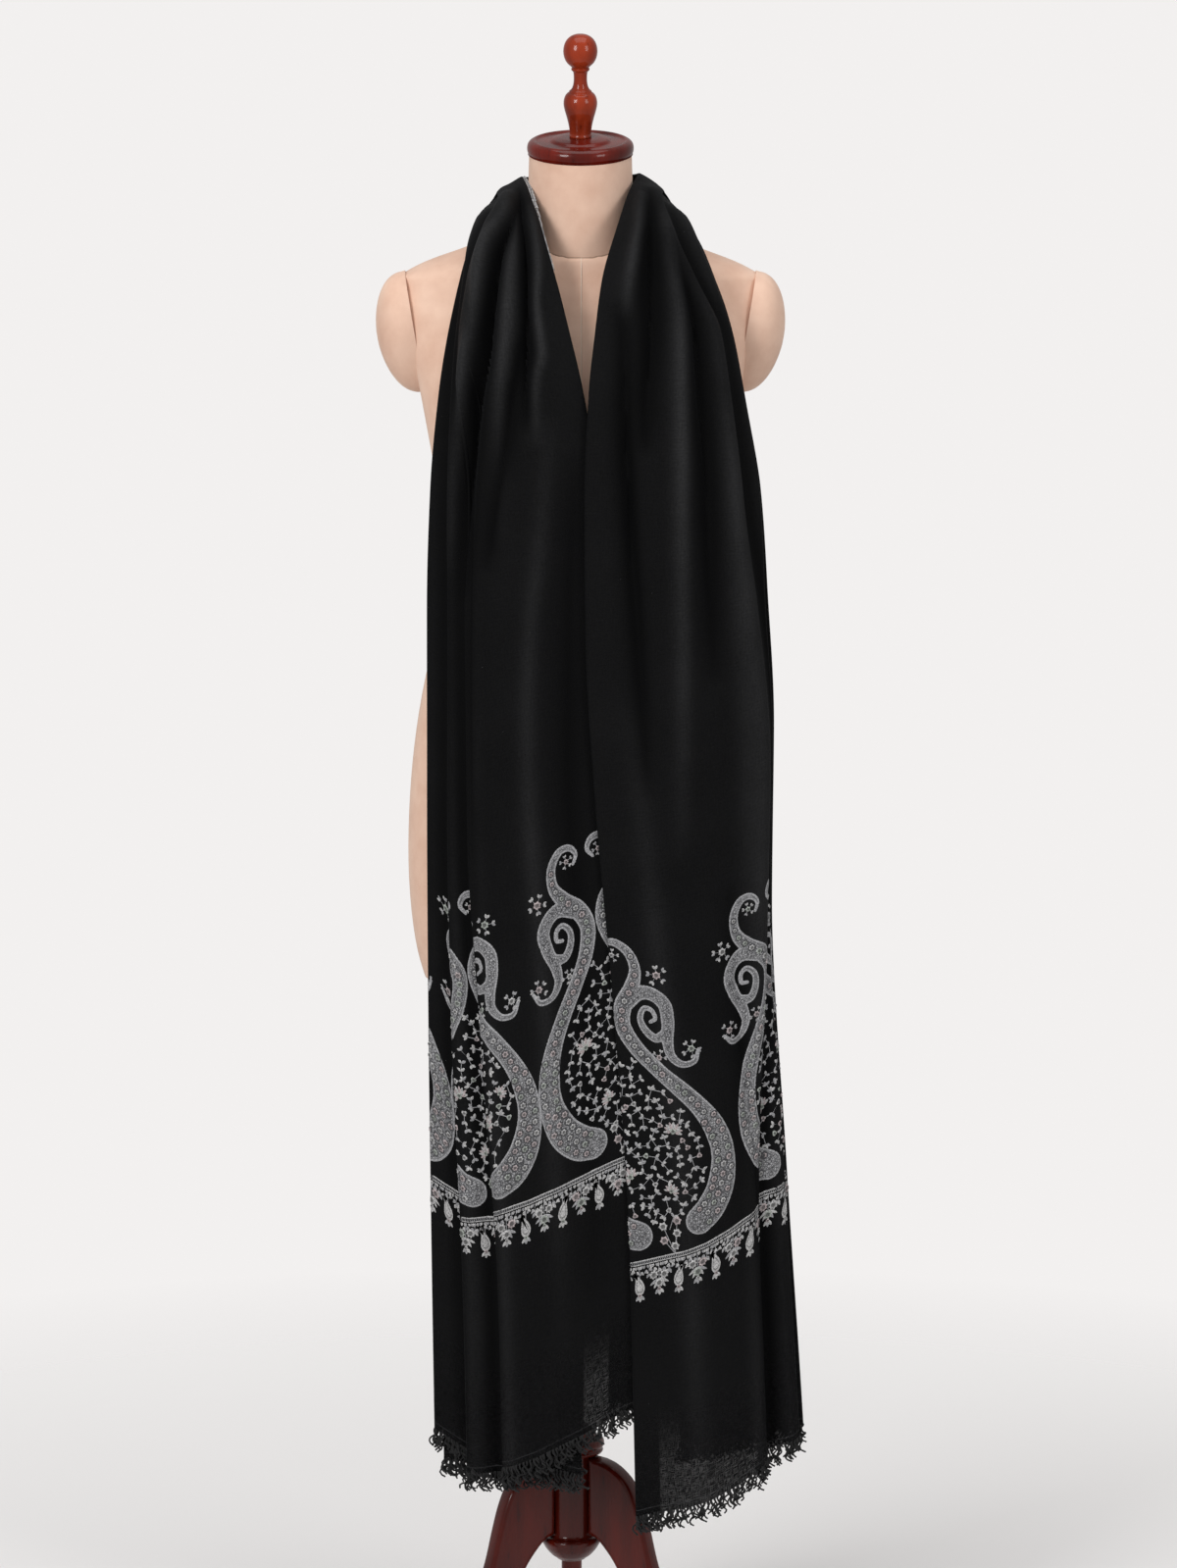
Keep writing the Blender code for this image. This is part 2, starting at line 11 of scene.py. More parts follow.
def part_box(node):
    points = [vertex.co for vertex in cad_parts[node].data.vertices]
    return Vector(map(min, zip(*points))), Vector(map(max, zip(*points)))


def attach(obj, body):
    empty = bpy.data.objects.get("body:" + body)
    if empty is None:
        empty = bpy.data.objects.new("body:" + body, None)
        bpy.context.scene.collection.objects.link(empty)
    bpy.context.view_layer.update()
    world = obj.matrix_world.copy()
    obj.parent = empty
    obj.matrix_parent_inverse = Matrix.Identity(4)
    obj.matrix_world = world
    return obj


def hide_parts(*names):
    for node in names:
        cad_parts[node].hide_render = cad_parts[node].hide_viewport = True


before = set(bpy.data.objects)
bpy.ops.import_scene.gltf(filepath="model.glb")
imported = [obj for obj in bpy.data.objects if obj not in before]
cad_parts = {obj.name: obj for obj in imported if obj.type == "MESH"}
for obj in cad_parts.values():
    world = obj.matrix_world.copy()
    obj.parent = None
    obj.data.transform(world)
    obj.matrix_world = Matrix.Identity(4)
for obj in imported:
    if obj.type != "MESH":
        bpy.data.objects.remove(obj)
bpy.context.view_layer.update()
scene = bpy.context.scene

poleLow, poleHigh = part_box("pole")
poleOffset = 0.010  # the pole stands this far left of the form's middle
middle = Vector(((poleLow.x + poleHigh.x) / 2 + poleOffset, (poleLow.y + poleHigh.y) / 2, 0))
poleFoot = Vector((middle.x - poleOffset, middle.y, 0))

print("frame loaded")


# a shader socket that takes part in sums, so that masks read as plain arithmetic
class Wire:
    def __init__(self, tree, socket=None):
        self.tree = tree
        self.socket = socket

    def node(self, kind, settings=None, sockets=None, out=0):
        made = self.tree.nodes.new(kind)
        for key, value in (settings or {}).items():
            setattr(made, key, value)
        for key, value in (sockets or {}).items():
            if isinstance(value, Wire):
                self.tree.links.new(value.socket, made.inputs[key])
            else:
                made.inputs[key].default_value = value
        return Wire(self.tree, made.outputs[out])

    def math(self, operation, other=0.0, flipped=False):
        first, second = (other, self) if flipped else (self, other)
        return self.node("ShaderNodeMath", {"operation": operation}, {0: first, 1: second})

    def clamped(self):
        return self.node("ShaderNodeMath", {"operation": "ADD", "use_clamp": True}, {0: self, 1: 0.0})

    def __add__(self, other):
        return self.math("ADD", other)

    def __sub__(self, other):
        return self.math("SUBTRACT", other)

    def __rsub__(self, other):
        return self.math("SUBTRACT", other, True)

    def __mul__(self, other):
        return self.math("MULTIPLY", other)

    def __lt__(self, other):
        return self.math("LESS_THAN", other)

    def __gt__(self, other):
        return self.math("GREATER_THAN", other)

    __radd__ = __add__
    __rmul__ = __mul__

    def between(self, low, high):
        return (self > low) * (self < high)

    def mixed(self, first, second):
        return self.node("ShaderNodeMix", {"data_type": "RGBA"}, {0: self, 6: first, 7: second}, out=2)

    def place(self):
        return self.node("ShaderNodeTexCoord", out=3)

    def map(self, name):
        return self.node("ShaderNodeUVMap", {"uv_map": name})

    def attribute(self, name, out):
        return self.node("ShaderNodeAttribute", {"attribute_name": name}, out=out)

    def part(self, axis):
        return self.node("ShaderNodeSeparateXYZ", None, {"Vector": self}, out=axis)

    def stretched(self, scale):
        return self.node("ShaderNodeMapping", None, {"Vector": self, "Scale": scale})

    def noise(self, scale, detail=2.0, roughness=0.5):
        sockets = {"Vector": self, "Scale": scale, "Detail": detail, "Roughness": roughness}
        return self.node("ShaderNodeTexNoise", None, sockets)

    def cells(self, scale, feature="F1"):
        return self.node("ShaderNodeTexVoronoi", {"feature": feature}, {"Vector": self, "Scale": scale})


def newMaterial(name, colour, constants):
    material = bpy.data.materials.new(name)
    material.use_nodes = True
    shader = material.node_tree.nodes["Principled BSDF"]
    shader.inputs["Base Color"].default_value = (*colour, 1)
    for key, value in constants.items():
        shader.inputs[key].default_value = value
    return material, shader, Wire(material.node_tree)


def plug(wire, shader, socket):
    wire.tree.links.new(wire.socket, shader.inputs[socket])


def plugBump(wire, shader, strength, distance):
    sockets = {"Height": wire, "Strength": strength, "Distance": distance}
    plug(wire.node("ShaderNodeBump", None, sockets), shader, "Normal")


# finishes

looks = {
    # the wool's trough and crest tones are painted shade in a fold's trough and painted light on its crest
    "wool": {"paintedTroughShade": (0.0003, 0.0003, 0.0004), "paintedCrestLight": (0.0300, 0.0300, 0.0312),
             "lint": (0.10, 0.10, 0.105), "twill": 5200.0, "weftLine": 0.007, "sheer": 0.26,
             "sheerHem": 0.045},
    "thread": {"shadow": (0.018, 0.018, 0.021), "dull": (0.17, 0.17, 0.18), "bright": (1.0, 1.0, 1.0)},
    "velvet": {"crushed": (0.60, 0.365, 0.265), "raised": (0.83, 0.600, 0.470)},
    "yarn": {"dark": (0.0012, 0.0012, 0.0014), "light": (0.0085, 0.0085, 0.0090)},
    "paper": {"dark": (0.90, 0.89, 0.885), "light": (0.92, 0.91, 0.905)},
    "turned": {"dark": (0.055, 0.0040, 0.0015), "light": (0.46, 0.052, 0.013), "grain": (34.0, 34.0, 5.0)},
    "cap": {"dark": (0.030, 0.0020, 0.0010), "light": (0.205, 0.0135, 0.0055), "grain": (30.0, 30.0, 6.0)},
    "leg": {"dark": (0.024, 0.0022, 0.0012), "light": (0.120, 0.0085, 0.0032), "grain": (26.0, 26.0, 5.0)},
}
stage = {"radius": 3.0, "drop": 0.001, "fadeFrom": 0.40, "fadeOver": 1.5}


def tones(look, *names):
    return [(*looks[look][name], 1) for name in names]


def woolMaterial():
    look = looks["wool"]
    paintedTroughShade, paintedCrestTone, lintTone = tones("wool", "paintedTroughShade", "paintedCrestLight", "lint")
    material, shader, wire = newMaterial("blackWool", (0.0085, 0.0085, 0.0090), {
        "Roughness": 0.68, "Sheen Weight": 0.03, "Sheen Roughness": 0.5,
        "Sheen Tint": (0.55, 0.56, 0.60, 1), "Specular IOR Level": 0.05})
    flat = wire.map("flat")
    fromHem = wire.map("hem").part(0)
    twill = (flat.part(0) * look["twill"] + flat.part(1) * look["twill"]).math("SINE") * 0.5 + 0.5
    slubs = flat.stretched((900.0, 60.0, 1.0)).noise(1.0, 3.0)
    picks = flat.stretched((60.0, 900.0, 1.0)).noise(1.0, 3.0)
    nap = flat.noise(420.0, 4.0, 0.65)
    plugBump(twill * 0.35 + slubs * 0.8 + picks * 0.8 + nap * 0.9, shader, 0.5, 0.0006)
    shade = (slubs * 0.30 + picks * 0.30 + nap * 0.55 + flat.noise(9.0) * 0.35 - 0.35).clamped()
    # the loose wefts next to the fringe show as a faint pale line
    weftLine = (fromHem - look["weftLine"]).math("ABSOLUTE") < 0.0004
    speck = (flat.cells(95.0) < 0.035) * (nap > 0.60)
    pale = (weftLine * 0.22 + speck * 0.8).clamped()
    # painted light and shade: the colour is lightened on the crests of the folds and darkened in their
    # troughs, following the depth of the fold relief
    paintedCrestLight = (0.42 - wire.attribute("relief", 2) * 70.0).clamped()
    # the noise tone times the painted fold light and shade
    lit = (shade * (paintedCrestLight * paintedCrestLight * 4.0 + 0.15) * 0.35).clamped()
    plug(pale.mixed(lit.mixed(paintedTroughShade, paintedCrestTone), lintTone), shader, "Base Color")
    # one layer alone lets a little light through between its threads, the more so near its hem
    warps = flat.stretched((2100.0, 120.0, 1.0)).noise(1.0, 3.0)
    wefts = flat.stretched((110.0, 2300.0, 1.0)).noise(1.0, 3.0)
    nearHem = 1.0 - ((fromHem - look["sheerHem"]) * 14.0).clamped()
    sheer = ((warps * 0.9 + wefts * 1.1 - 0.98) * 5.0 + 0.45).clamped() * nearHem
    plug(1.0 - sheer * look["sheer"], shader, "Alpha")
    return material


def threadMaterial():
    shadow, dull, bright = tones("thread", "shadow", "dull", "bright")
    material, shader, wire = newMaterial("silverThread", (0.27, 0.27, 0.30), {
        "Roughness": 0.55, "Sheen Weight": 0.25, "Sheen Roughness": 0.4})
    flat = wire.map("flat")
    edge = wire.attribute("edge", 2)  # millimetres in from the edge of the stitching
    stitches = flat.cells(640.0)
    gaps = flat.cells(420.0, "DISTANCE_TO_EDGE") < 0.105
    fine = flat.noise(900.0, 2.0, 0.6)
    ring = flat.cells(150.0).between(0.30, 0.42) * (edge > 3.4)
    dark = (gaps * (edge > 3.3) * 0.82 + edge.between(2.2, 3.0) * 0.66 + ring * 0.55).clamped()
    light = (fine * 1.9 + stitches * 0.8 - 0.75).clamped()
    tinted = {0: 1.0, 6: wire.attribute("thread", 0), 7: light.mixed(dull, bright)}
    lit = wire.node("ShaderNodeMix", {"data_type": "RGBA", "blend_type": "MULTIPLY"}, tinted, out=2)
    plug(dark.mixed(lit, shadow), shader, "Base Color")
    plugBump(stitches * -0.6 + fine * 0.7 - dark * 0.8, shader, 0.6, 0.0005)
    return material


def velvetMaterial():
    material, shader, wire = newMaterial("creamVelvet", (0.66, 0.48, 0.35), {
        "Roughness": 0.85, "Sheen Weight": 0.45, "Sheen Roughness": 0.35,
        "Sheen Tint": (1.0, 0.90, 0.80, 1), "Specular IOR Level": 0.2})
    place = wire.place()
    pile = place.noise(1500.0, 2.0, 0.7)
    crushed = place.noise(34.0, 3.0, 0.55)
    shade = (crushed * 0.95 + place.noise(9.0) * 0.75 + pile * 0.35 - 0.55).clamped()
    plug(shade.mixed(*tones("velvet", "crushed", "raised")), shader, "Base Color")
    plugBump(pile * 0.6 + crushed * 0.5, shader, 0.35, 0.0008)
    return material


def woodMaterial(name, look):
    light, grainScale = looks[look]["light"], looks[look]["grain"]
    pore = tuple(0.35 * part for part in looks[look]["dark"])
    material, shader, wire = newMaterial(name, light, {
        "Roughness": 0.30, "Coat Weight": 0.38, "Coat Roughness": 0.05, "Specular IOR Level": 0.10})
    place = wire.place()
    grain = place.stretched(grainScale).noise(1.0, 5.0, 0.6)
    pores = place.stretched(tuple(4.0 * part for part in grainScale)).noise(1.0, 2.0, 0.7)
    shade = (grain * 1.5 + place.noise(6.0) * 0.5 - 0.55).clamped()
    colour = shade.mixed(*tones(look, "dark", "light"))
    plug(((pores < 0.33) * 0.30).mixed(colour, (*pore, 1)), shader, "Base Color")
    plug(pores * 0.12 + grain * 0.10 + 0.16, shader, "Roughness")
    plugBump(pores * 0.5 + grain * 0.3, shader, 0.10, 0.0005)
    return material


def yarnMaterial():
    material, shader, wire = newMaterial("fringeYarn", (0.008, 0.008, 0.009), {"Roughness": 0.9})
    fuzz = wire.place().noise(900.0, 3.0, 0.7)
    plug(fuzz.mixed(*tones("yarn", "dark", "light")), shader, "Base Color")
    plugBump(fuzz, shader, 0.6, 0.0004)
    return material


def seamMaterial(name, dark, light):
    material, shader, wire = newMaterial(name, light, {"Roughness": 0.95})
    plug(wire.place().noise(700.0).mixed((*dark, 1), (*light, 1)), shader, "Base Color")
    return material


def paperMaterial():
    material, shader, wire = newMaterial("palePaper", looks["paper"]["dark"], {"Roughness": 0.9})
    place = wire.place()
    plug(place.noise(0.8, 1.0).mixed(*tones("paper", "dark", "light")), shader, "Base Color")
    reach = wire.node("ShaderNodeVectorMath", {"operation": "LENGTH"}, {0: place}, out=1)
    plug(1.0 - ((reach - stage["fadeFrom"]) * (1 / stage["fadeOver"])).clamped(), shader, "Alpha")
    return material


wool = woolMaterial()
silver = threadMaterial()
velvet = velvetMaterial()
yarn = yarnMaterial()
# a darker cord laid along the neck seam: its colour is painted shadow where the neck meets the body
paintedSeamShadow = seamMaterial("seamShadow", (0.26, 0.17, 0.12), (0.40, 0.27, 0.19))
paleSeam = seamMaterial("paleSeam", (0.66, 0.50, 0.40), (0.86, 0.70, 0.58))
turnedWood = woodMaterial("turnedMahogany", "turned")
capWood = woodMaterial("capMahogany", "cap")
legWood = woodMaterial("legMahogany", "leg")


# making pieces

def addPiece(name, shape, material, smoothAngle=180):
    if isinstance(shape, bmesh.types.BMesh):
        mesh = bpy.data.meshes.new(name)
        shape.to_mesh(mesh)
        shape.free()
    else:
        mesh = shape
        mesh.name = name
    mesh.materials.clear()
    mesh.materials.append(material)
    mesh.shade_smooth()
    if smoothAngle < 180:
        mesh.set_sharp_from_angle(angle=math.radians(smoothAngle))
    piece = bpy.data.objects.new(name, mesh)
    scene.collection.objects.link(piece)
    return piece


def declared(piece, node=None):
    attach(piece, "root")
    if node:
        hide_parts(node)
    return piece


def finalMesh(piece):
    bpy.context.view_layer.update()
    return bpy.data.meshes.new_from_object(piece.evaluated_get(bpy.context.evaluated_depsgraph_get()))


def settled(piece, smoothAngle):
    mesh = finalMesh(piece)
    piece.modifiers.clear()
    piece.data = mesh
    mesh.set_sharp_from_angle(angle=math.radians(smoothAngle))


def roundCord(points, radius, resolution, closed=False, capped=False):
    curve = bpy.data.curves.new("cord", "CURVE")
    curve.dimensions = "3D"
    curve.bevel_depth = radius
    curve.bevel_resolution = resolution
    curve.use_fill_caps = capped
    line = curve.splines.new("POLY")
    line.points.add(len(points) - 1)
    line.use_cyclic_u = closed
    for point, place in zip(line.points, points):
        point.co = (*place, 1)
    holder = bpy.data.objects.new("cord", curve)
    scene.collection.objects.link(holder)
    mesh = finalMesh(holder)
    bpy.data.objects.remove(holder)
    return mesh


def castTree(mesh):
    return BVHTree.FromPolygons([v.co for v in mesh.vertices], [tuple(p.vertices) for p in mesh.polygons])


def millimetres(values):
    return np.array(values) / 1000


# a curve through rows of (place, place, width), a step apart
def smoothLine(rows, step):
    padded = np.vstack([2 * rows[0] - rows[1], rows, 2 * rows[-1] - rows[-2]])
    made = []
    for a, b, c, d in zip(padded, padded[1:], padded[2:], padded[3:]):
        count = max(1, int(round(np.linalg.norm((c - b)[:2]) / step)))
        x = np.arange(count)[:, None] / count
        bend = (2 * a - 5 * b + 4 * c - d) * x**2 + (3 * b - a - 3 * c + d) * x**3
        made.append(0.5 * (2 * b + (c - a) * x + bend))
    return np.vstack([*made, rows[-1:]])


# the shawl, one woven sheet folded lengthways in five and hung round the neck

# a row for each section, from the left hem over the nape to the right hem: the x, y and z of the inner
# edge, the crown and the outer edge of its front, then fold a's place, its tuck, fold b's place, its
# tuck, and the step from layer to layer; places are shares of the width, all else is in millimetres
guide = (
    (62, -150, 255, -55, -159, 255, -157, -128, 255, 0.62, 13, 0.8, 9, 2.6),
    (60, -150, 490, -50, -158, 490, -158, -127, 490, 0.67, 10, 0.84, 9, 2.6),
    (50, -149, 725, -56, -156, 725, -160, -125, 725, 0.73, 5, 0.87, 9, 2.6),
    (29, -147, 920, -66, -154, 920, -161, -123, 920, 0.765, 6, 0.875, 8, 2.6),
    (20, -147, 1130, -71, -153, 1130, -161, -120, 1130, 0.765, 9, 0.865, 8, 2.6),
    (16, -148, 1270, -73, -153, 1270, -158, -115, 1270, 0.765, 14, 0.87, 7, 2.6),
    (1, -146, 1376, -78, -145, 1376, -150, -103, 1376, 0.8, 12, 0.89, 6, 2.4),
    (-12.5, -130, 1435, -82, -127, 1437, -142, -84, 1437, 0.83, 10, 0.91, 6, 2.2),
    (-26, -106, 1488, -83, -101, 1493, -133, -67, 1483, 0.8, 9, 0.915, 6, 2.2),
    (-42, -77, 1541, -86, -68, 1544, -124, -38, 1521, 0.66, 9, 0.9, 6, 2),
    (-55, -36, 1579, -88, -29, 1567, -118, 4, 1537, 0.44, 9, 0.86, 6, 1.7),
    (-62.5, 10, 1592, -92, 14, 1569, -121, 46, 1531, 0.4, 9, 0.84, 6, 1.7),
    (-61, 48, 1591, -94, 66, 1554, -134, 94, 1490, 0.55, 9, 0.86, 6, 1.9),
    (-44, 77, 1591, -78, 106, 1530, -119, 132, 1420, 0.74, 9, 0.88, 6, 2.3),
    (-22, 90, 1590, -42, 126, 1502, -63, 148, 1368, 0.72, 9, 0.87, 6, 2.4),
    (0, 93, 1590, 0, 131, 1493, 0, 152, 1350, 0.72, 9, 0.87, 6, 2.4),
    (22, 90, 1590, 43, 126, 1501, 66, 148, 1366, 0.72, 9, 0.88, 6, 2.4),
    (44, 77, 1592, 81, 107, 1529, 123, 133, 1418, 0.74, 10, 0.89, 6, 2.3),
    (61, 48, 1594, 98, 67, 1551, 139, 95, 1490, 0.52, 11, 0.88, 6, 1.9),
    (62.5, 10, 1595, 96, 14, 1569, 127, 46, 1532, 0.36, 12, 0.86, 6, 1.7),
    (53, -38, 1580, 92, -30, 1569, 126, 4, 1539, 0.38, 13, 0.84, 6, 1.8),
    (39, -80, 1541, 92, -70, 1545, 134, -38, 1524, 0.52, 14, 0.86, 6, 2),
    (24, -112, 1488, 96, -103, 1493, 149, -67, 1483, 0.7, 14, 0.92, 5, 2.2),
    (17, -137, 1435, 97, -131, 1437, 162, -84, 1437, 0.835, 14, 0.95, 5, 2.2),
    (11, -153, 1376, 96, -151, 1376, 174, -101, 1376, 0.85, 14, 0.96, 4, 2.4),
    (7, -157, 1270, 98, -160, 1270, 190, -115, 1270, 0.86, 14, 0.97, 4, 2.6),
    (8, -156, 1130, 104, -160, 1130, 197, -120, 1130, 0.905, 12, 0.97, 3, 2.6),
    (18, -156, 950, 112, -161, 950, 204, -123, 950, 0.935, 10, 0.975, 3, 2.6),
    (34, -157, 766, 120, -162, 766, 203, -126, 766, 0.92, 9, 0.97, 3, 2.6),
    (52.5, -157, 490, 137, -163, 490, 218, -130, 490, 0.8, 8, 0.96, 3, 2.6),
    (58, -157, 210, 148, -164, 210, 238, -132, 210, 0.76, 8, 0.95, 3, 2.6),
)
guideUnits = (1000,) * 9 + (1, 1000, 1, 1000, 1000)

# a row for each corner of the folded section, from the selvedge by the neck to the far one: its place
# across, the layer it lies on, and how many millimetres it is drawn up at the left and the right hem
folds = (
    ("near selvedge", 0.13, 1, 78, 10),
    ("inner fold, back", 0.0, 1, 76, 4),
    ("inner fold, front", 0.0, 0, 74, 3),
    ("front", 0.2, 0, 63, 10),
    ("front", 0.4, 0, 50, 17),
    ("front", 0.6, 0, 37, 26),
    ("front", 0.8, 0, 24, 40),
    ("front", 1.0, 0, 14, 56),
    ("fold a, front", "a", 0, 10, 62),
    ("fold a, back", "a", 1, 10, 63),
    ("tuck a, front", "a in", 1, 6, 66),
    ("tuck a, back", "a in", 2, 5, 67),
    ("over tuck b", "b in", 2, 1, 80),
    ("fold b, front", "b", 2, 1, 83),
    ("fold b, back", "b", 3, 3, 84),
    ("tuck b, front", "b in", 3, 15, 86),
    ("tuck b, back", "b in", 4, 17, 87),
    ("outer fold, front", 1.0, 4, 42, 93),
    ("outer fold, back", 1.0, 5, 43, 93),
    ("second layer", 0.82, 5, 32, 90),
    ("second layer", 0.62, 5, 21, 86),
    ("second layer", 0.45, 3.7, 13, 84),
    ("second layer, inner fold", 0.26, 2.2, 3, 82),
    ("third layer, inner fold", 0.26, 3.2, 3, 83),
    ("third layer", 0.45, 4.7, 5, 88),
    ("third layer", 0.62, 6, 7, 93),
    ("third layer", 0.82, 6, 8, 100),
    ("third layer, outer fold", 0.965, 6, 10, 106),
    ("fourth layer, outer fold", 0.965, 7, 11, 107),
    ("fourth layer", 0.82, 7, 12, 109),
    ("fourth layer", 0.62, 7, 14, 112),
    ("fourth layer", 0.45, 5.7, 15, 114),
    ("fourth layer, inner fold", 0.26, 4.2, 17, 116),
    ("fifth layer, inner fold", 0.26, 5.2, 18, 117),
    ("fifth layer", 0.45, 6.7, 19, 118),
    ("fifth layer", 0.62, 8, 21, 119),
    ("fifth layer", 0.82, 8, 24, 120),
    ("far selvedge", 0.88, 8, 25, 120),
)

cloth = {
    "wall": 0.0008,
    "joinRows": (12.5, 19.5),
    "pieces": {"shawlFrontLeft": (0, 12.5), "shawlBack": (12.5, 19.5), "shawlFrontRight": (19.5, 30)},
    "nodes": {"shawlFrontLeft": "shawl_front_left", "shawlBack": "shawl_back",
              "shawlFrontRight": "shawl_front_right"},
    "station": 0.0085,      # from one section to the next
    "frontStep": 0.0052,    # from point to point across what shows
    "hiddenStep": 0.028,
    "usualWidth": 0.225,
    "flatLevel": 11,        # creases fade towards the rear layers, and would be gone at this one
    "foldRound": 0.0021,    # how far a fold rolls past its corner
    "foldParts": 5,
    "hangFull": 0.62,       # the hem's rises count fully up to here, and no more past hangNone
    "hangNone": 1.15,
    "hemSplay": 0.30,       # the layers stand further apart over this much of the hem
    "splayReach": 0.35,
    "cutWidth": 0.75,
}

# soft creases: the depth in millimetres (below 0 is a ridge), half the width, and the (row, place) of
# each station
creases = (
    (18.75, 8.36, ((4.2, 0.78), (5.8, 0.7), (6.6, 0.62), (7.4, 0.58), (8.3, 0.51), (8.8, 0.38), (9.7, 0.14))),
    (15.75, 6.16, ((5.6, 0.38), (6.3, 0.34), (7, 0.29), (8, 0.24), (9, 0.18), (10.2, 0.1))),
    (-10.5, 7.04, ((5.4, 0.32), (6.2, 0.27), (6.7, 0.2), (7.4, 0.2), (8.3, 0.12), (9.6, 0.04))),
    (-9, 10.56, ((4.6, 0.56), (6, 0.5), (7, 0.43), (8, 0.38), (8.8, 0.28), (9.6, 0.22))),
    (-9, 7.92, ((4.4, 0.86), (6, 0.8), (7.2, 0.7), (8.4, 0.64), (9.3, 0.36), (10.2, 0.26))),
    (10.5, 9.68, ((4.4, 0.64), (5.3, 0.52), (6.1, 0.42), (6.9, 0.33))),
    (6.75, 8.8, ((1.6, 0.7), (3.4, 0.73), (4.6, 0.72), (6.6, 0.72), (8, 0.74))),
    (-5.25, 11.44, ((0.4, 0.34), (1.6, 0.4), (3.2, 0.42), (4.8, 0.3), (5.8, 0.22))),
    (4.5, 15.84, ((0.6, 0.2), (2.2, 0.22), (4, 0.16), (5.4, 0.1))),
    (16.5, 10.56, ((19.9, 0.22), (20.4, 0.27), (21.2, 0.3), (22.1, 0.32), (23.3, 0.34), (24.6, 0.33))),
    (-9.75, 7.92, ((20.1, 0.12), (20.4, 0.15), (21.1, 0.2), (21.8, 0.18), (22.8, 0.16))),
    (10.5, 8.8, ((22.4, 0.1), (23.3, 0.17), (24.5, 0.21), (25.8, 0.25), (27, 0.28))),
    (-9, 10.56, ((20.6, 0.38), (21.6, 0.46), (22.8, 0.52), (24.4, 0.53), (26, 0.5), (27.4, 0.44))),
    (12, 10.56, ((21.2, 0.5), (22, 0.6), (23, 0.66), (24.6, 0.68), (26.4, 0.66))),
    (-5.25, 12.32, ((24, 0.78), (25.4, 0.8), (27, 0.82), (28.4, 0.8))),
    (6, 10.56, ((27.6, 0.7), (28.6, 0.76), (29.3, 0.79), (30.4, 0.82))),
    (-4.5, 14.08, ((26.4, 0.2), (27.6, 0.26), (29, 0.34), (30.4, 0.4))),
    (10.5, 14.08, ((11, 0.3), (13, 0.34), (15.2, 0.3), (17.4, 0.35), (19.4, 0.28))),
    (-9, 12.32, ((11.6, 0.48), (13.6, 0.5), (15.4, 0.46), (17, 0.5), (18.8, 0.46))),
    (9.75, 14.08, ((11.4, 0.66), (13.2, 0.64), (15, 0.68), (17.2, 0.64), (19.2, 0.68))),
    (-7.5, 10.56, ((12.4, 0.84), (14.4, 0.86), (16.2, 0.82), (18.2, 0.86))),
)
draping = {
    "pinch": (1.15, 1.25),  # a pinched trough has a sharp bottom, and a crest is round
    "fade": 0.6,
    # each knife fold swells before its edge and sinks past it, less so over the shoulders
    "swells": (0.0040, 0.0026),
    "sinks": (0.0055, 0.0036),
    "swellAt": 0.009,
    "sinkAt": 0.008,
    "napeRow": 15.2,
    "calm": 0.25,
    # slow waves, so that no stretch hangs dead flat: (rate across, rate along, phase, height)
    "waves": ((31.0, 2.1, 0.4, 0.0014), (57.0, 3.7, 1.9, 0.0009), (83.0, 5.9, 4.2, 0.0005),
              (23.0, 9.1, 2.6, 0.0007)),
    "flutterReach": 0.30,
    # (rate across, phase, height) at the hem
    "flutter": ((46.0, 0.8, 0.0035), (97.0, 0.0, 0.002)),
}


def easedCurve(knots, values, at):
    steps = np.diff(knots)
    slopes = np.diff(values, axis=0) / steps[:, None]
    before, after = slopes[:-1], slopes[1:]
    sameWay = before * after > 0
    mean = 2 * before * after / np.where(sameWay, before + after, 1)
    tangents = np.vstack([slopes[:1], np.where(sameWay, mean, 0), slopes[-1:]])
    index = np.clip(np.searchsorted(knots, at, side="right") - 1, 0, len(steps) - 1)
    width = steps[index][:, None]
    x = (np.asarray(at)[:, None] - knots[index][:, None]) / width
    return (values[index] * (1 + 2 * x) * (1 - x) ** 2 + values[index + 1] * x**2 * (3 - 2 * x)
            + tangents[index] * width * x * (1 - x) ** 2 + tangents[index + 1] * width * x**2 * (x - 1))


def pathSamples():
    # (corner, share of the way to the next corner, roll) for each point across
    turns = {"a": 0.80, "a in": 0.72, "b": 0.90, "b in": 0.86}
    where = [turns.get(fold[1], fold[1]) for fold in folds]
    samples = []
    for k, (fold, after) in enumerate(zip(folds, folds[1:])):
        if fold[1] == after[1] and abs(fold[2] - after[2]) == 1:
            side = 1 if where[k] > where[k - 1] else -1
            parts = cloth["foldParts"]
            for i in range(parts):
                angle = math.pi * i / parts
                samples.append((k, (1 - math.cos(angle)) / 2, side * math.sin(angle)))
        else:
            step = cloth["frontStep"] if k < 18 or k > 32 else cloth["hiddenStep"]
            parts = max(3, round(abs(where[k + 1] - where[k]) * cloth["usualWidth"] / step))
            samples += [(k, i / parts, 0) for i in range(parts)]
    samples.append((len(folds) - 2, 1.0, 0))
    return np.array(samples)


settling = {
    "rows": ((8.0, 9.2, 12.9, 14.2), (17.2, 18.2, 21.2, 22.4)),
    "firstLevel": 3.9,
    "levelRamp": 1.4,
    "lastLevel": 8.0,
    "clearance": 0.0012,
    "squeezed": 0.0018,
    "furthest": 0.034,
    "blur": (7, 5),
}


def blurred(values, axis, spread):
    kernel = np.ones(2 * spread + 1) / (2 * spread + 1)
    return np.apply_along_axis(
        lambda line: np.convolve(np.pad(line, spread, "edge"), kernel, "valid"), axis, values)


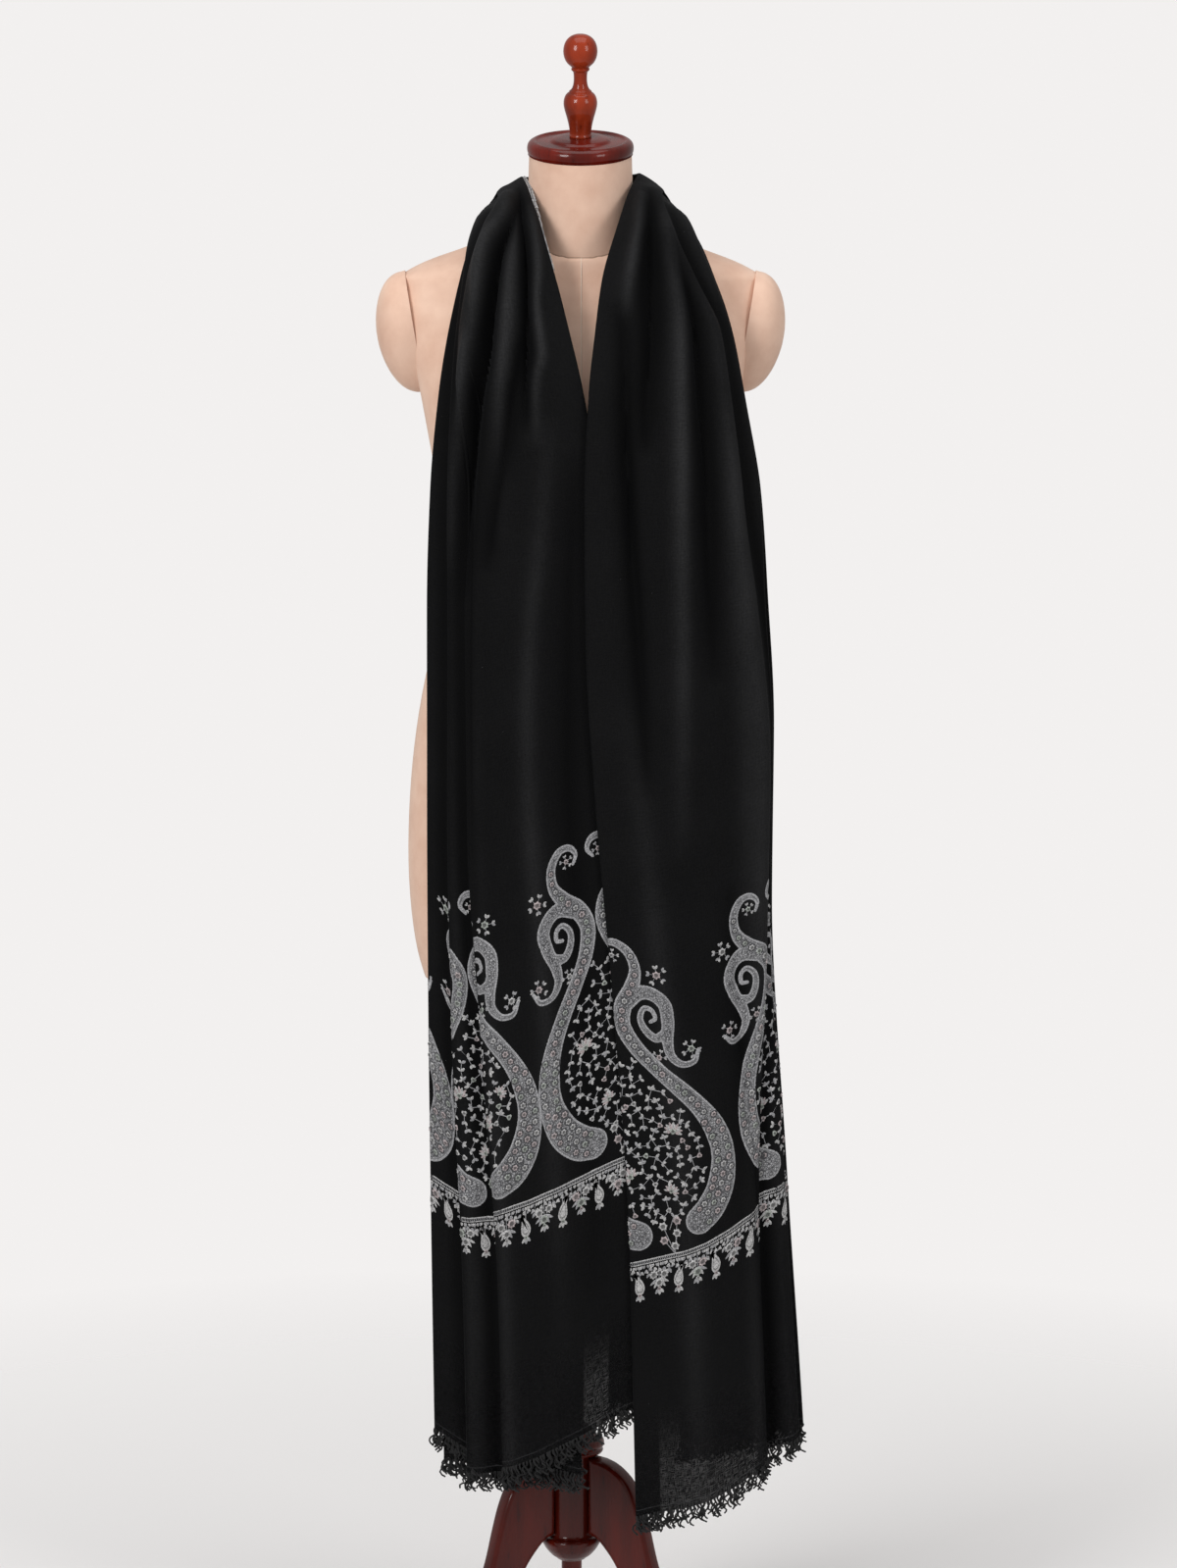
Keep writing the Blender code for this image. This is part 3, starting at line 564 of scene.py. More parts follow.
def sinkOnForm(point, outward, level, row):
    # over the shoulders the hidden layers sink until the innermost one lies on the form
    trees = [castTree(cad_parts[node].data) for node in ("form_torso", "form_neck")]
    furthest = settling["furthest"]
    hidden = np.flatnonzero(level > settling["firstLevel"])
    wanted = settling["clearance"] + settling["squeezed"] * (settling["lastLevel"] - level[hidden])
    gaps = np.zeros((len(row), len(level)))
    window = np.zeros(len(row))
    for start, full, fullEnd, end in settling["rows"]:
        window = np.maximum(window, np.interp(row, (start, full, fullEnd, end), (0, 1, 1, 0), 0, 0))
    for station in np.flatnonzero(window > 0):
        found = np.full(len(hidden), np.nan)
        for i, column in enumerate(hidden):
            start, way = Vector(point[station, column]), Vector(-outward[station, column])
            hits = [tree.ray_cast(start, way, furthest) for tree in trees]
            found[i] = min((hit[3] for hit in hits if hit[0]), default=np.nan)
        met = ~np.isnan(found)
        if met.any():
            found = np.interp(np.arange(len(hidden)), np.flatnonzero(met), found[met])
            gaps[station, hidden] = np.clip(found - wanted, 0, furthest)
    for axis, spread in enumerate(settling["blur"]):
        gaps = blurred(gaps, axis, spread)
    share = np.clip((level - settling["firstLevel"]) / settling["levelRamp"], 0, 1)
    return point - outward * (gaps * share[None, :] * window[:, None])[:, :, None]


def foldShawl():
    rows = np.array(guide) / guideUnits
    lengths = np.linalg.norm(np.diff(rows[:, 3:6], axis=0), axis=1)
    along = np.concatenate([[0], np.cumsum(lengths)])
    total = along[-1]
    joins = [0, *(float(np.interp(row, range(len(along)), along)) for row in cloth["joinRows"]), total]
    distance = np.concatenate([[0]] + [
        np.linspace(low, high, int((high - low) / cloth["station"]) + 1)[1:]
        for low, high in zip(joins, joins[1:])])
    corner, share, roll = pathSamples().T
    corner = corner.astype(int)

    here = easedCurve(along, rows, distance)
    before = easedCurve(along, rows, np.clip(distance - 0.004, 0, total))
    after = easedCurve(along, rows, np.clip(distance + 0.004, 0, total))
    inner, crown, outer = (here[:, None, i:i + 3] for i in (0, 3, 6))
    foldA, tuckA, foldB, tuckB, pitch = here[:, 9:].T
    ahead = after[:, 3:6] - before[:, 3:6]
    ahead /= np.linalg.norm(ahead, axis=1)[:, None]
    width = (np.linalg.norm(crown - inner, axis=2) + np.linalg.norm(outer - crown, axis=2))[:, 0]
    named = {"a": foldA, "a in": foldA - tuckA / width, "b": foldB, "b in": foldB - tuckB / width}

    columns = []
    for name, place, *_ in folds:
        at = named[place] if isinstance(place, str) else np.full(len(distance), place)
        columns.append(at * named["a in"] if name == "front" else at)

    def spread(values):
        return values[..., corner] * (1 - share) + values[..., corner + 1] * share

    place = spread(np.array(columns).T)
    level, leftRise, rightRise = spread(np.array([fold[2:] for fold in folds]).T)
    rise = np.where(distance[:, None] < total / 2, leftRise, rightRise) / 1000
    fromHem = np.minimum(distance, total - distance)
    x = np.clip((cloth["hangNone"] - fromHem) / (cloth["hangNone"] - cloth["hangFull"]), 0, 1)
    rise = rise * (x * x * (3 - 2 * x))[:, None]

    # a parabola through the inner edge, the crown and the outer edge
    p = place[:, :, None]
    point = inner * (1 - p) * (1 - 2 * p) + crown * 4 * p * (1 - p) + outer * p * (2 * p - 1)
    across = inner * (4 * p - 3) + crown * (4 - 8 * p) + outer * (4 * p - 1)
    across /= np.linalg.norm(across, axis=2)[:, :, None]
    outward = np.cross(ahead[:, None, :], across)
    outward /= np.linalg.norm(outward, axis=2)[:, :, None]

    row = np.interp(distance, along, np.arange(len(along)))
    relief, folded = creaseRelief(row, place, width, distance, fromHem, (foldA, foldB))
    splay = 1 + cloth["hemSplay"] * np.clip(1 - fromHem / cloth["splayReach"], 0, 1) ** 2
    depth = level * (pitch * splay)[:, None] + relief * (1 - level / cloth["flatLevel"])
    point = point - outward * depth[:, :, None] + across * (roll * cloth["foldRound"])[None, :, None]
    point[:, :, 2] += rise
    point += np.array(middle)
    point = sinkOnForm(point, outward, level, row)

    steps = np.linalg.norm(np.diff(point, axis=1), axis=2)
    arc = np.concatenate([np.zeros((len(distance), 1)), np.cumsum(steps, axis=1)], axis=1)
    normal = np.cross(np.gradient(point, axis=0), np.gradient(point, axis=1))
    normal /= np.linalg.norm(normal, axis=2)[:, :, None]
    innerFold, outerFold, rear = (int(np.argmax(corner == k)) for k in (2, 18, 33))
    return {"point": point, "normal": normal, "relief": folded, "arc": arc, "distance": distance,
            "total": total, "row": row, "innerFold": innerFold, "outerFold": outerFold, "rear": rear}


def creaseRelief(row, place, width, distance, fromHem, knifeFolds):
    relief = np.zeros_like(place)
    s = place * width[:, None]
    pinch, power = draping["pinch"]
    swellAt, sinkAt = draping["swellAt"], draping["sinkAt"]
    for depth, halfWidth, stations in creases:
        rows, places = np.array(stations).T
        centre = easedCurve(rows, places[:, None], np.clip(row, rows[0], rows[-1]))[:, 0]
        fade = np.sin(math.pi * np.clip((row - rows[0]) / (rows[-1] - rows[0]), 0, 1)) ** draping["fade"]
        off = (place - centre[:, None]) * width[:, None] / (halfWidth / 1000)
        profile = np.exp(-pinch * np.abs(off) ** power) if depth > 0 else np.exp(-off * off)
        relief += depth / 1000 * fade[:, None] * profile
    fromNape = np.abs(row - draping["napeRow"])
    calm = draping["calm"]
    hangs = calm + (1 - calm) * np.clip(fromNape / 3.0 - 1.25, 0, 1)
    for fold, swell, sink in zip(knifeFolds, draping["swells"], draping["sinks"]):
        past = (place - fold[:, None]) * width[:, None]
        sunk = sink * np.exp(-((past - sinkAt) / sinkAt) ** 2)
        relief += hangs[:, None] * (sunk - swell * np.exp(-((past + swellAt) / swellAt) ** 2))
    folded = relief.copy()
    for acrossRate, alongRate, phase, height in draping["waves"]:
        relief += height * np.sin(acrossRate * s + alongRate * distance[:, None] + phase)
    flutter = np.clip(1 - fromHem / draping["flutterReach"], 0, 1) ** 1.5
    for acrossRate, phase, height in draping["flutter"]:
        relief += height * flutter[:, None] * np.sin(s * acrossRate + phase)
    return relief, folded


def clothPiece(name, shawl, first, last):
    point, arc = shawl["point"][first:last + 1], shawl["arc"][first:last + 1]
    distance = shawl["distance"][first:last + 1]
    count, columns = point.shape[:2]
    shape = bmesh.new()
    shape.loops.layers.uv.new("flat")
    shape.loops.layers.uv.new("hem")
    bmesh.ops.create_grid(shape, x_segments=columns - 1, y_segments=count - 1, size=0.5)
    mesh = bpy.data.meshes.new(name)
    shape.to_mesh(mesh)
    shape.free()
    co = np.empty(len(mesh.vertices) * 3)
    mesh.vertices.foreach_get("co", co)
    co = co.reshape(-1, 3)
    column = np.rint((co[:, 0] + 0.5) * (columns - 1)).astype(int)
    station = np.rint((co[:, 1] + 0.5) * (count - 1)).astype(int)
    mesh.vertices.foreach_set("co", point[station, column].ravel())
    depths = mesh.attributes.new("relief", "FLOAT", "POINT")
    depths.data.foreach_set("value", shawl["relief"][first:last + 1][station, column].astype(np.float32))
    loops = np.empty(len(mesh.loops), int)
    mesh.loops.foreach_get("vertex_index", loops)
    fromHem = np.minimum(distance, shawl["total"] - distance)
    flat = np.stack([arc[station, column], distance[station]], axis=1)
    hem = np.stack([fromHem[station], arc[station, column]], axis=1)
    mesh.uv_layers["flat"].data.foreach_set("uv", flat[loops].ravel())
    mesh.uv_layers["hem"].data.foreach_set("uv", hem[loops].ravel())
    mesh.flip_normals()
    piece = addPiece(name, mesh, wool)
    wall = piece.modifiers.new("wall", "SOLIDIFY")
    wall.thickness = cloth["wall"]
    wall.offset = 0
    settled(piece, 60)
    return piece


def makeShawl():
    shawl = foldShawl()
    made = {}
    for name, (fromRow, toRow) in cloth["pieces"].items():
        first = int(np.argmin(abs(shawl["row"] - fromRow)))
        last = int(np.argmin(abs(shawl["row"] - toRow)))
        piece = declared(clothPiece(name, shawl, first, last), cloth["nodes"][name])
        length = shawl["distance"][last] - shawl["distance"][first]
        made[name] = (piece, length)
    return shawl, made


shawl, shawlPieces = makeShawl()
print("shawl folded:", shawl["point"].shape[:2], "length", round(float(shawl["total"]), 3))
print("folded path:", shawl["arc"][::40, -1].round(3))


# needle embroidery: stitches drawn flat as (across, along, height), then laid on the cloth

lyre = {
    "borderAt": 0.270,      # from the hem
    "cell": 0.0016,
    "height": 0.00045,
    "step": 0.0012,
    "margin": 0.022,
    "beyond": 0.13,         # a lyre this far past the cloth's edge is left out
    "rounded": 0.0009,      # how far in from its edge the stitching reaches its height
    # strokes of one half, as (from the axis, above the border, width) in millimetres
    "body": ((34, 27, 32), (49, 35, 35), (65, 54, 33), (74.5, 84, 27), (73, 114, 23.5), (64, 142, 20),
             (49, 169, 18), (31, 196, 17), (16, 222, 17), (9, 248, 17.5), (15, 268, 19), (28, 284, 16.5),
             (37, 302, 12.5), (35, 321, 10.5), (24, 334, 9), (12.5, 334, 7.5), (6.5, 325, 5.5),
             (11, 316, 4)),
    "lobe": ((16, 268, 17), (34, 277, 16), (48, 273, 15), (57, 260, 14.5), (55.5, 241, 14), (50, 222, 12.5),
             (49.5, 206, 10), (58, 194, 8), (71, 193, 6.8), (78.5, 204, 4.2)),
    "swirl": ((51, 231, 11), (39, 227.5, 10), (30.5, 238, 8.5), (28.5, 251, 7.2), (35, 260.5, 6.3),
              (42.5, 257, 5.8), (44, 248, 5.2), (38, 245.5, 4.5)),
    # bunches of buds outside it, and roses at its foot, as (from the axis, above the border, size)
    "bunches": ((71.5, 207, 4.2), (57.5, 292, 4.6), (18, 321.5, 3), (37, 207, 3.4)),
    "roses": ((-8, 16, 5), (7, 21, 5), (-6, 31, 5), (2, 8, 5), (10, 34, 5)),
}


threadTints = {
    "grey": (0.36, 0.36, 0.37),
    "pale": (0.50, 0.495, 0.49),
    "rose": (0.47, 0.40, 0.40),
    "sage": (0.38, 0.41, 0.37),
    "dark": (0.045, 0.045, 0.05),
    "undyed": (1, 1, 1),
}
seeds = random.Random(11)


# copies of small stitched shapes, gathered as matrices and joined into one mesh at the end
class Needlework:
    def __init__(self):
        self.copies = {}

    def place(self, stitch, matrix, tint, edge=1.2):
        self.copies.setdefault(id(stitch), (stitch, []))[1].append((matrix, tint, edge))

    def flat(self, stitch, x, y, angle, length, width, tint, lift=0.0, edge=1.2):
        turned = Matrix.Translation((x, y, lift)) @ Matrix.Rotation(angle, 4, "Z")
        self.place(stitch, turned @ Matrix.Diagonal((length, width, 1, 1)), tint, edge)

    def round(self, stitch, x, y, angle, radius, tint, lift=0.0):
        self.flat(stitch, x, y, angle, radius, radius, tint, lift)

    def line(self, points, width, tint):
        for (x, y), (toX, toY) in zip(points, points[1:]):
            length = math.hypot(toX - x, toY - y) * 1.05
            self.flat(thread, x, y, math.atan2(toY - y, toX - x), length, width, tint)

    def joined(self):
        points, sides, rings, tints, edges = [], [], [], [], []
        used = 0
        for stitch, copies in self.copies.values():
            matrices = np.array([matrix for matrix, _, _ in copies])
            colour = np.array([threadTints[tint] for _, tint, _ in copies])
            turned = np.einsum("mij,nj->mni", matrices[:, :3, :3], stitch["points"])
            placed = turned + matrices[:, None, :3, 3]
            count = len(stitch["points"])
            points.append(placed.reshape(-1, 3))
            starts = used + count * np.arange(len(copies))
            rings.append((stitch["rings"][None, :] + starts[:, None]).ravel())
            sides.append(np.tile(stitch["sides"], len(copies)))
            tints.append((colour[:, None, :] * stitch["shade"][None, :, None]).reshape(-1, 3))
            edge = np.array([edge for _, _, edge in copies])
            own = stitch["edge"][None, :] * np.ones((len(copies), 1))
            edges.append(np.where(own >= 0, own, edge[:, None]).ravel())
            used += count * len(copies)
        return tuple(np.concatenate(part) for part in (points, sides, rings, tints, edges))


def meshOf(name, points, sides, rings, tints, edges):
    mesh = bpy.data.meshes.new(name)
    mesh.vertices.add(len(points))
    mesh.vertices.foreach_set("co", points.ravel())
    mesh.loops.add(len(rings))
    mesh.loops.foreach_set("vertex_index", rings)
    mesh.polygons.add(len(sides))
    mesh.polygons.foreach_set("loop_start", np.concatenate([[0], np.cumsum(sides)[:-1]]))
    mesh.update(calc_edges=True)
    edge = mesh.attributes.new("edge", "FLOAT", "POINT")
    edge.data.foreach_set("value", edges)
    colour = mesh.attributes.new("thread", "FLOAT_COLOR", "POINT")
    colour.data.foreach_set("color", np.hstack([tints, np.ones((len(tints), 1))]).ravel())
    flat = mesh.uv_layers.new(name="flat")
    flat.data.foreach_set("uv", points[rings, :2].ravel())
    return mesh


def stitchOf(shape, shade=None):
    # reads a finished shape into arrays; a layer named edge is kept, and shade darkens a point's tint
    shape.verts.index_update()
    layer = shape.verts.layers.float.get("edge")
    found = {
        "points": np.array([vertex.co[:] for vertex in shape.verts]),
        "sides": np.array([len(face.verts) for face in shape.faces]),
        "rings": np.array([vertex.index for face in shape.faces for vertex in face.verts]),
        "shade": np.array([shade(vertex.co) if shade else 1.0 for vertex in shape.verts]),
        "edge": np.array([vertex[layer] if layer else -1.0 for vertex in shape.verts]),
    }
    shape.free()
    return found


def leafStitch():
    # a pointed leaf with a raised rib, from its stalk at 0 to its tip at 1
    shape = bmesh.new()
    bmesh.ops.create_cone(shape, cap_ends=False, segments=8, radius1=0.5, radius2=0.0, depth=1.0)
    for vertex in shape.verts:
        low = vertex.co.z < 0
        pinch = 1 - 0.45 * max(0, vertex.co.x * 2) ** 2
        vertex.co = (vertex.co.x + 0.5, vertex.co.y * pinch, -0.00010 if low else 0.00060)
    bmesh.ops.recalc_face_normals(shape, faces=shape.faces)
    return stitchOf(shape, lambda co: 1.0 if co.z < 0 else 0.86)


def flowerStitch(petals):
    # round petals about a dark heart, of radius 1
    shape = bmesh.new()
    bmesh.ops.create_circle(shape, cap_ends=True, segments=petals * 2, radius=1.0)
    bmesh.ops.inset_individual(shape, faces=shape.faces[:], thickness=0.42, depth=0.0)
    core = min(shape.faces, key=lambda face: face.calc_center_median().length)
    bmesh.ops.inset_individual(shape, faces=[core], thickness=0.20, depth=0.0)
    for vertex in shape.verts:
        far = vertex.co.length
        turn = math.atan2(vertex.co.y, vertex.co.x) / (2 * math.pi) * petals
        valley = abs(turn - round(turn)) > 0.25
        if far > 0.9 and valley:
            vertex.co *= 0.72
        vertex.co.z = -0.0001 if far > 0.9 else 0.0007 if far > 0.5 else 0.0004
    bmesh.ops.recalc_face_normals(shape, faces=shape.faces)
    return stitchOf(shape, lambda co: 0.22 if co.xy.length < 0.45 else 1.0)


def discStitch():
    shape = bmesh.new()
    bmesh.ops.create_circle(shape, cap_ends=True, segments=12, radius=1.0)
    return stitchOf(shape)


def threadStitch():
    # a short raised run of thread, from 0 to 1 and one wide
    shape = bmesh.new()
    bmesh.ops.create_grid(shape, x_segments=1, y_segments=2, size=0.5)
    for vertex in shape.verts:
        vertex.co = (vertex.co.x + 0.5, vertex.co.y, 0.0004 if abs(vertex.co.y) < 0.1 else -0.0001)
    return stitchOf(shape)


def dropStitch(lean):
    # a hanging paisley one long, its bent tip up
    shape = bmesh.new()
    bmesh.ops.create_circle(shape, cap_ends=True, segments=20, radius=0.5)
    for vertex in shape.verts:
        up = vertex.co.y + 0.5
        narrow = 0.46 * (1 - up ** 1.6) + 0.06
        vertex.co.x = vertex.co.x * 2 * narrow + lean * max(0, up - 0.35) ** 2 * 0.9
    for depth in (0.085, 0.055, 0.05):
        core = max(shape.faces, key=lambda face: face.calc_area() if len(face.verts) > 4 else 0)
        bmesh.ops.inset_individual(shape, faces=[core], thickness=depth, depth=0.0001)
    tiers = sorted({round(vertex.co.z, 5) for vertex in shape.verts})
    bmesh.ops.recalc_face_normals(shape, faces=shape.faces)
    return stitchOf(shape, lambda co: 0.25 if abs(co.z - tiers[2]) < 0.00002 else 1.0)


def strokeSamples():
    runs = [millimetres(lyre[name]) for name in ("body", "lobe", "swirl")]
    return np.vstack([smoothLine(run, lyre["step"]) for run in runs])


def edgeDistance(points, samples):
    # how far each point is inside the strokes, and the way to the stroke that holds it
    gap = samples[None, :, :2] - points[:, None, :]
    far = np.linalg.norm(gap, axis=2)
    depth = samples[None, :, 2] / 2 - far
    pick = depth.argmax(axis=1)
    rows = np.arange(len(points))
    return depth[rows, pick], gap[rows, pick] / np.maximum(far[rows, pick], 1e-9)[:, None]


def halfLyre(samples, side):
    low = samples[:, :2].min(axis=0) - lyre["margin"]
    high = samples[:, :2].max(axis=0) + lyre["margin"]
    counts = np.ceil((high - low) / lyre["cell"]).astype(int)
    shape = bmesh.new()
    bmesh.ops.create_grid(shape, x_segments=int(counts[0]), y_segments=int(counts[1]), size=0.5)
    edge = shape.verts.layers.float.new("edge")
    points = np.array([vertex.co[:2] for vertex in shape.verts]) + 0.5
    points = low + points * (high - low)
    depth, towards = edgeDistance(points, samples)
    outside = [f for f in shape.faces if max(depth[v.index] for v in f.verts) <= 0.0002]
    snapped = points - towards * np.minimum(depth, 0)[:, None]
    for vertex, at, d in zip(shape.verts, snapped, np.maximum(depth, 0)):
        raised = lyre["height"] * (1 - math.exp(-d / lyre["rounded"]))
        vertex.co = (at[0] * side, at[1], raised - 0.00012)
        vertex[edge] = d * 1000
    bmesh.ops.delete(shape, geom=outside, context="FACES")
    if side < 0:
        bmesh.ops.reverse_faces(shape, faces=shape.faces)
    return stitchOf(shape)


def tintFor(kind=None):
    pick = seeds.random()
    if kind == "flower":
        return "rose" if pick < 0.35 else "sage" if pick < 0.6 else "pale"
    return "pale" if pick < 0.6 else "grey"


thread = threadStitch()
leaf = leafStitch()
flowers = {petals: flowerStitch(petals) for petals in (5, 6, 8)}
disc = discStitch()
drops = [dropStitch(lean) for lean in (-1, 1)]
strokes = strokeSamples()
halves = {side: halfLyre(strokes, side) for side in (-1, 1)}


def cluster(work, x, y, size):
    # a flower with five buds and their leaves round it
    start = seeds.uniform(0, 1.2)
    for i in range(5):
        angle = start + i * 1.257 + seeds.uniform(-0.15, 0.15)
        reach = size * seeds.uniform(1.7, 2.1)
        way = np.array((math.cos(angle), math.sin(angle)))
        work.line([(x, y), way * reach + (x, y)], 0.0007, "grey")
        for turn in (-0.55, 0.55):
            work.flat(leaf, *(way * reach * 0.8 + (x, y)), angle + turn, size * 1.1, size * 0.75, tintFor())
    work.round(flowers[6], x, y, start, size, tintFor("flower"), 0.0002)


def carnation(work, x, y, size, heading):
    for ring, (count, reach) in enumerate(((9, 1.0), (7, 0.66))):
        for i in range(count):
            angle = heading + (i - (count - 1) / 2) * (4.2 / count) + seeds.uniform(-0.08, 0.08)
            tint = "rose" if (i + ring) % 2 else "pale"
            work.flat(leaf, x + 0.2 * size * math.cos(angle), y + 0.2 * size * math.sin(angle), angle,
                      size * reach * 0.85, size * 0.36, tint, 0.0002 * ring)
    work.round(flowers[5], x, y, heading, size * 0.34, "sage", 0.0005)


# the plant inside a lyre; the carnations are (from the axis, above the border, size, heading)
plant = {
    "tries": 6000,
    "halfWidth": 0.075,
    "heights": (0.036, 0.212),
    "bodyTop": 0.225,
    "gap": 0.0082,
    "clear": 0.0032,        # from the lyre's own stitching
    "longestStem": 0.016,
    "carnations": ((0.030, 0.128, 0.0105, 1.2), (-0.026, 0.090, 0.0105, 2.2), (-0.020, 0.160, 0.0080, 1.6),
                   (0.012, 0.066, 0.0085, 0.9), (-0.046, 0.118, 0.0080, 2.6)),
}


def sprayField():
    # where the plant's buds stand, spaced evenly and clear of the lyre's body
    body = smoothLine(millimetres(lyre["body"]), 0.003)
    body = body[body[:, 1] < plant["bodyTop"]]
    body = body[np.argsort(body[:, 1])]
    found = np.zeros((0, 2))
    for _ in range(plant["tries"]):
        s, t = seeds.uniform(-plant["halfWidth"], plant["halfWidth"]), seeds.uniform(*plant["heights"])
        if abs(s) > np.interp(t, body[:, 1], body[:, 0]):
            continue
        if len(found) and np.hypot(*(found - (s, t)).T).min() < plant["gap"]:
            continue
        if any(math.hypot(s - a, t - b) < size * 1.15 for a, b, size, _ in plant["carnations"]):
            continue
        found = np.vstack([found, (s, t)])
    depth, _ = edgeDistance(np.abs(found * (1, 0)) + found * (0, 1), strokes)
    return found[depth < -plant["clear"]]


def plantLinks(field):
    # each bud hangs on the nearest one that is already on the plant
    links = []
    joined = [np.array([0.0, 0.026])]
    left = list(range(len(field)))
    while left:
        gaps = np.linalg.norm(field[left][:, None] - np.array(joined)[None], axis=2)
        i, parent = np.unravel_index(gaps.argmin(), gaps.shape)
        links.append((joined[parent], field[left[i]]))
        joined.append(field[left.pop(i)])
    return links


links = plantLinks(sprayField())


def sprays(work, axis):
    foot = np.array((axis, lyre["borderAt"]))
    for s, t, size, heading in plant["carnations"]:
        carnation(work, *(foot + (s, t)), size, heading)
    for parent, bud in links:
        if np.linalg.norm(bud - parent) < plant["longestStem"]:
            work.line([foot + parent, foot + bud], 0.0008, "grey")
        heading = math.atan2(*(bud - parent)[::-1])
        pick = seeds.random()
        if pick < 0.14:
            work.round(flowers[5], *(foot + bud), heading, 0.0031, tintFor("flower"), 0.0002)
            continue
        for turn in (-0.8, 0.8) if pick < 0.66 else (-1.15, 0.0, 1.15):
            work.flat(leaf, *(foot + bud), heading + turn + seeds.uniform(-0.25, 0.25),
                      seeds.uniform(0.0042, 0.0056), seeds.uniform(0.0027, 0.0035), tintFor(), 0.0001)


def bodyFlowers(work, axis, side):
    walked = 0.004
    line = smoothLine(millimetres(lyre["body"]), 0.001)
    for here, after in zip(line, line[1:]):
        step = after[:2] - here[:2]
        walked += np.linalg.norm(step)
        wide = here[2]
        if walked < 0.0098 or wide < 0.0105:
            continue
        walked = 0.0
        across = np.array([-step[1], step[0]]) / np.linalg.norm(step)
        offsets = (0.0,) if wide < 0.0215 else (-0.0062, 0.0062) if wide < 0.030 else (-0.0094, 0, 0.0094)
        for offset in offsets:
            radius = seeds.uniform(0.0030, 0.0037) * (0.85 if wide < 0.016 else 1.0)
            ahead = 4.7 if offset == 0 and len(offsets) == 3 else 0
            x, y = here[:2] + across * offset + step * ahead
            x, y = axis + side * x, y + lyre["borderAt"]
            work.round(disc, x, y, 0, radius * 1.32, "dark", 0.00036)
            work.round(flowers[6], x, y, seeds.uniform(0, 1), radius, tintFor("flower"), 0.00042)


hanging = {"scallop": 0.021, "drop": 0.0355, "bunch": 0.0320, "down": -1.57}


def border(work, fromX, toX):
    at, down = lyre["borderAt"], hanging["down"]
    line = [(x, at) for x in np.arange(fromX, toX, 0.004)]
    work.line(line, 0.0017, "pale")
    work.line([(x, y - 0.0038) for x, y in line], 0.0012, "pale")
    for x in np.arange(fromX, toX, 0.0019):
        work.line([(x, at - 0.0005), (x + 0.0010, at - 0.0033)], 0.0008, "grey")
    # a ruffle of small leaves in scallops along the lower line
    for i, x in enumerate(np.arange(fromX, toX, 0.0024)):
        sag = 0.0036 * abs(math.sin(x * math.pi / hanging["scallop"]))
        lean = 0.8 if i % 2 else -0.8
        work.flat(leaf, x, at - 0.0050, down + seeds.uniform(-0.5, 0.5), 0.0044, 0.0028, tintFor())
        work.flat(leaf, x, at - 0.0082 - sag, down + lean, 0.0046, 0.0027, tintFor(), 0.0001)
    # paisley drops and bunches of roses by turns, each ending in a tassel bud
    for i, x in enumerate(np.arange(fromX + 0.004, toX - 0.004, hanging["scallop"])):
        low = at + seeds.uniform(-0.0015, 0.0010)
        if i % 2:
            tip = low - hanging["drop"]
            work.flat(drops[i // 2 % 2], x, low - 0.0235, 0, 0.0125, 0.0235, "pale", 0.0002)
        else:
            tip = low - hanging["bunch"]
            for dx, dy in ((-0.0056, -0.0165), (0.0056, -0.0175), (0.0, -0.0258)):
                angle, tint = seeds.uniform(0, 1), tintFor("flower")
                work.flat(flowers[8], x + dx, low + dy, angle, 0.0052, 0.0050, tint, 0.0003)
            for turn in (-2.6, -2.1, -1.0, -0.5):
                work.flat(leaf, x, low - 0.021, turn, 0.0118, 0.0034, tintFor(), 0.0001)
        work.line([(x, low - 0.005), (x, tip)], 0.0009, "grey")
        for turn in (-0.75, 0, 0.75):
            work.flat(leaf, x, tip, down + turn, 0.0068, 0.0036, tintFor(), 0.0002)
        work.round(flowers[5], x, tip, 0, 0.0022, tintFor("flower"), 0.0005)
        for beside in (x - 0.0105, x + 0.0105):
            work.line([(beside, low - 0.008), (beside, low - 0.0145)], 0.0008, "grey")
            for turn in (-0.6, 0.6):
                work.flat(leaf, beside, low - 0.0140, down + turn, 0.0056, 0.0030, tintFor())


ends = {
    # the first axis from the inner fold at the border, and how far it slides across for each metre up
    "left": {"axis": 0.013, "slide": 0.077, "pitch": 0.174},
    "right": {"axis": 0.047, "slide": -0.20, "pitch": 0.187},
}


borderStation = 30
# how much of the cloth stays bare by its two selvedges and its rear fold, and how far the needlework
# goes round the outer fold
bare = {"near": 0.012, "far": 0.004, "fold": 0.001, "turned": 0.010}


def drawEnd(facts, fromX, toX):
    work, at = Needlework(), lyre["borderAt"]
    for k in range(-6, 8):
        axis = facts["axis"] + facts["pitch"] * k
        if not fromX - lyre["beyond"] < axis < toX + lyre["beyond"]:
            continue
        for side, half in halves.items():
            work.flat(half, axis, at, 0, 1, 1, "grey", 0, -1)
            bodyFlowers(work, axis, side)
            for s, t, size in millimetres(lyre["bunches"]):
                cluster(work, axis + side * s, at + t, size)
        for s, t, size in millimetres(lyre["roses"]):
            work.round(flowers[6], axis + s, at + t, 0, size, tintFor("flower"), 0.0002)
            work.line([(axis, at), (axis + s, at + t)], 0.0008, "grey")
        sprays(work, axis)
    drawn = work.joined()
    drawn[0][:, 0] += facts["slide"] * np.maximum(0, drawn[0][:, 1] - at)
    borderWork = Needlework()
    border(borderWork, fromX, toX)
    both = [np.concatenate(pair) for pair in zip(drawn, borderWork.joined())]
    both[2][len(drawn[2]):] += len(drawn[0])
    return clipped(*both, fromX, toX)


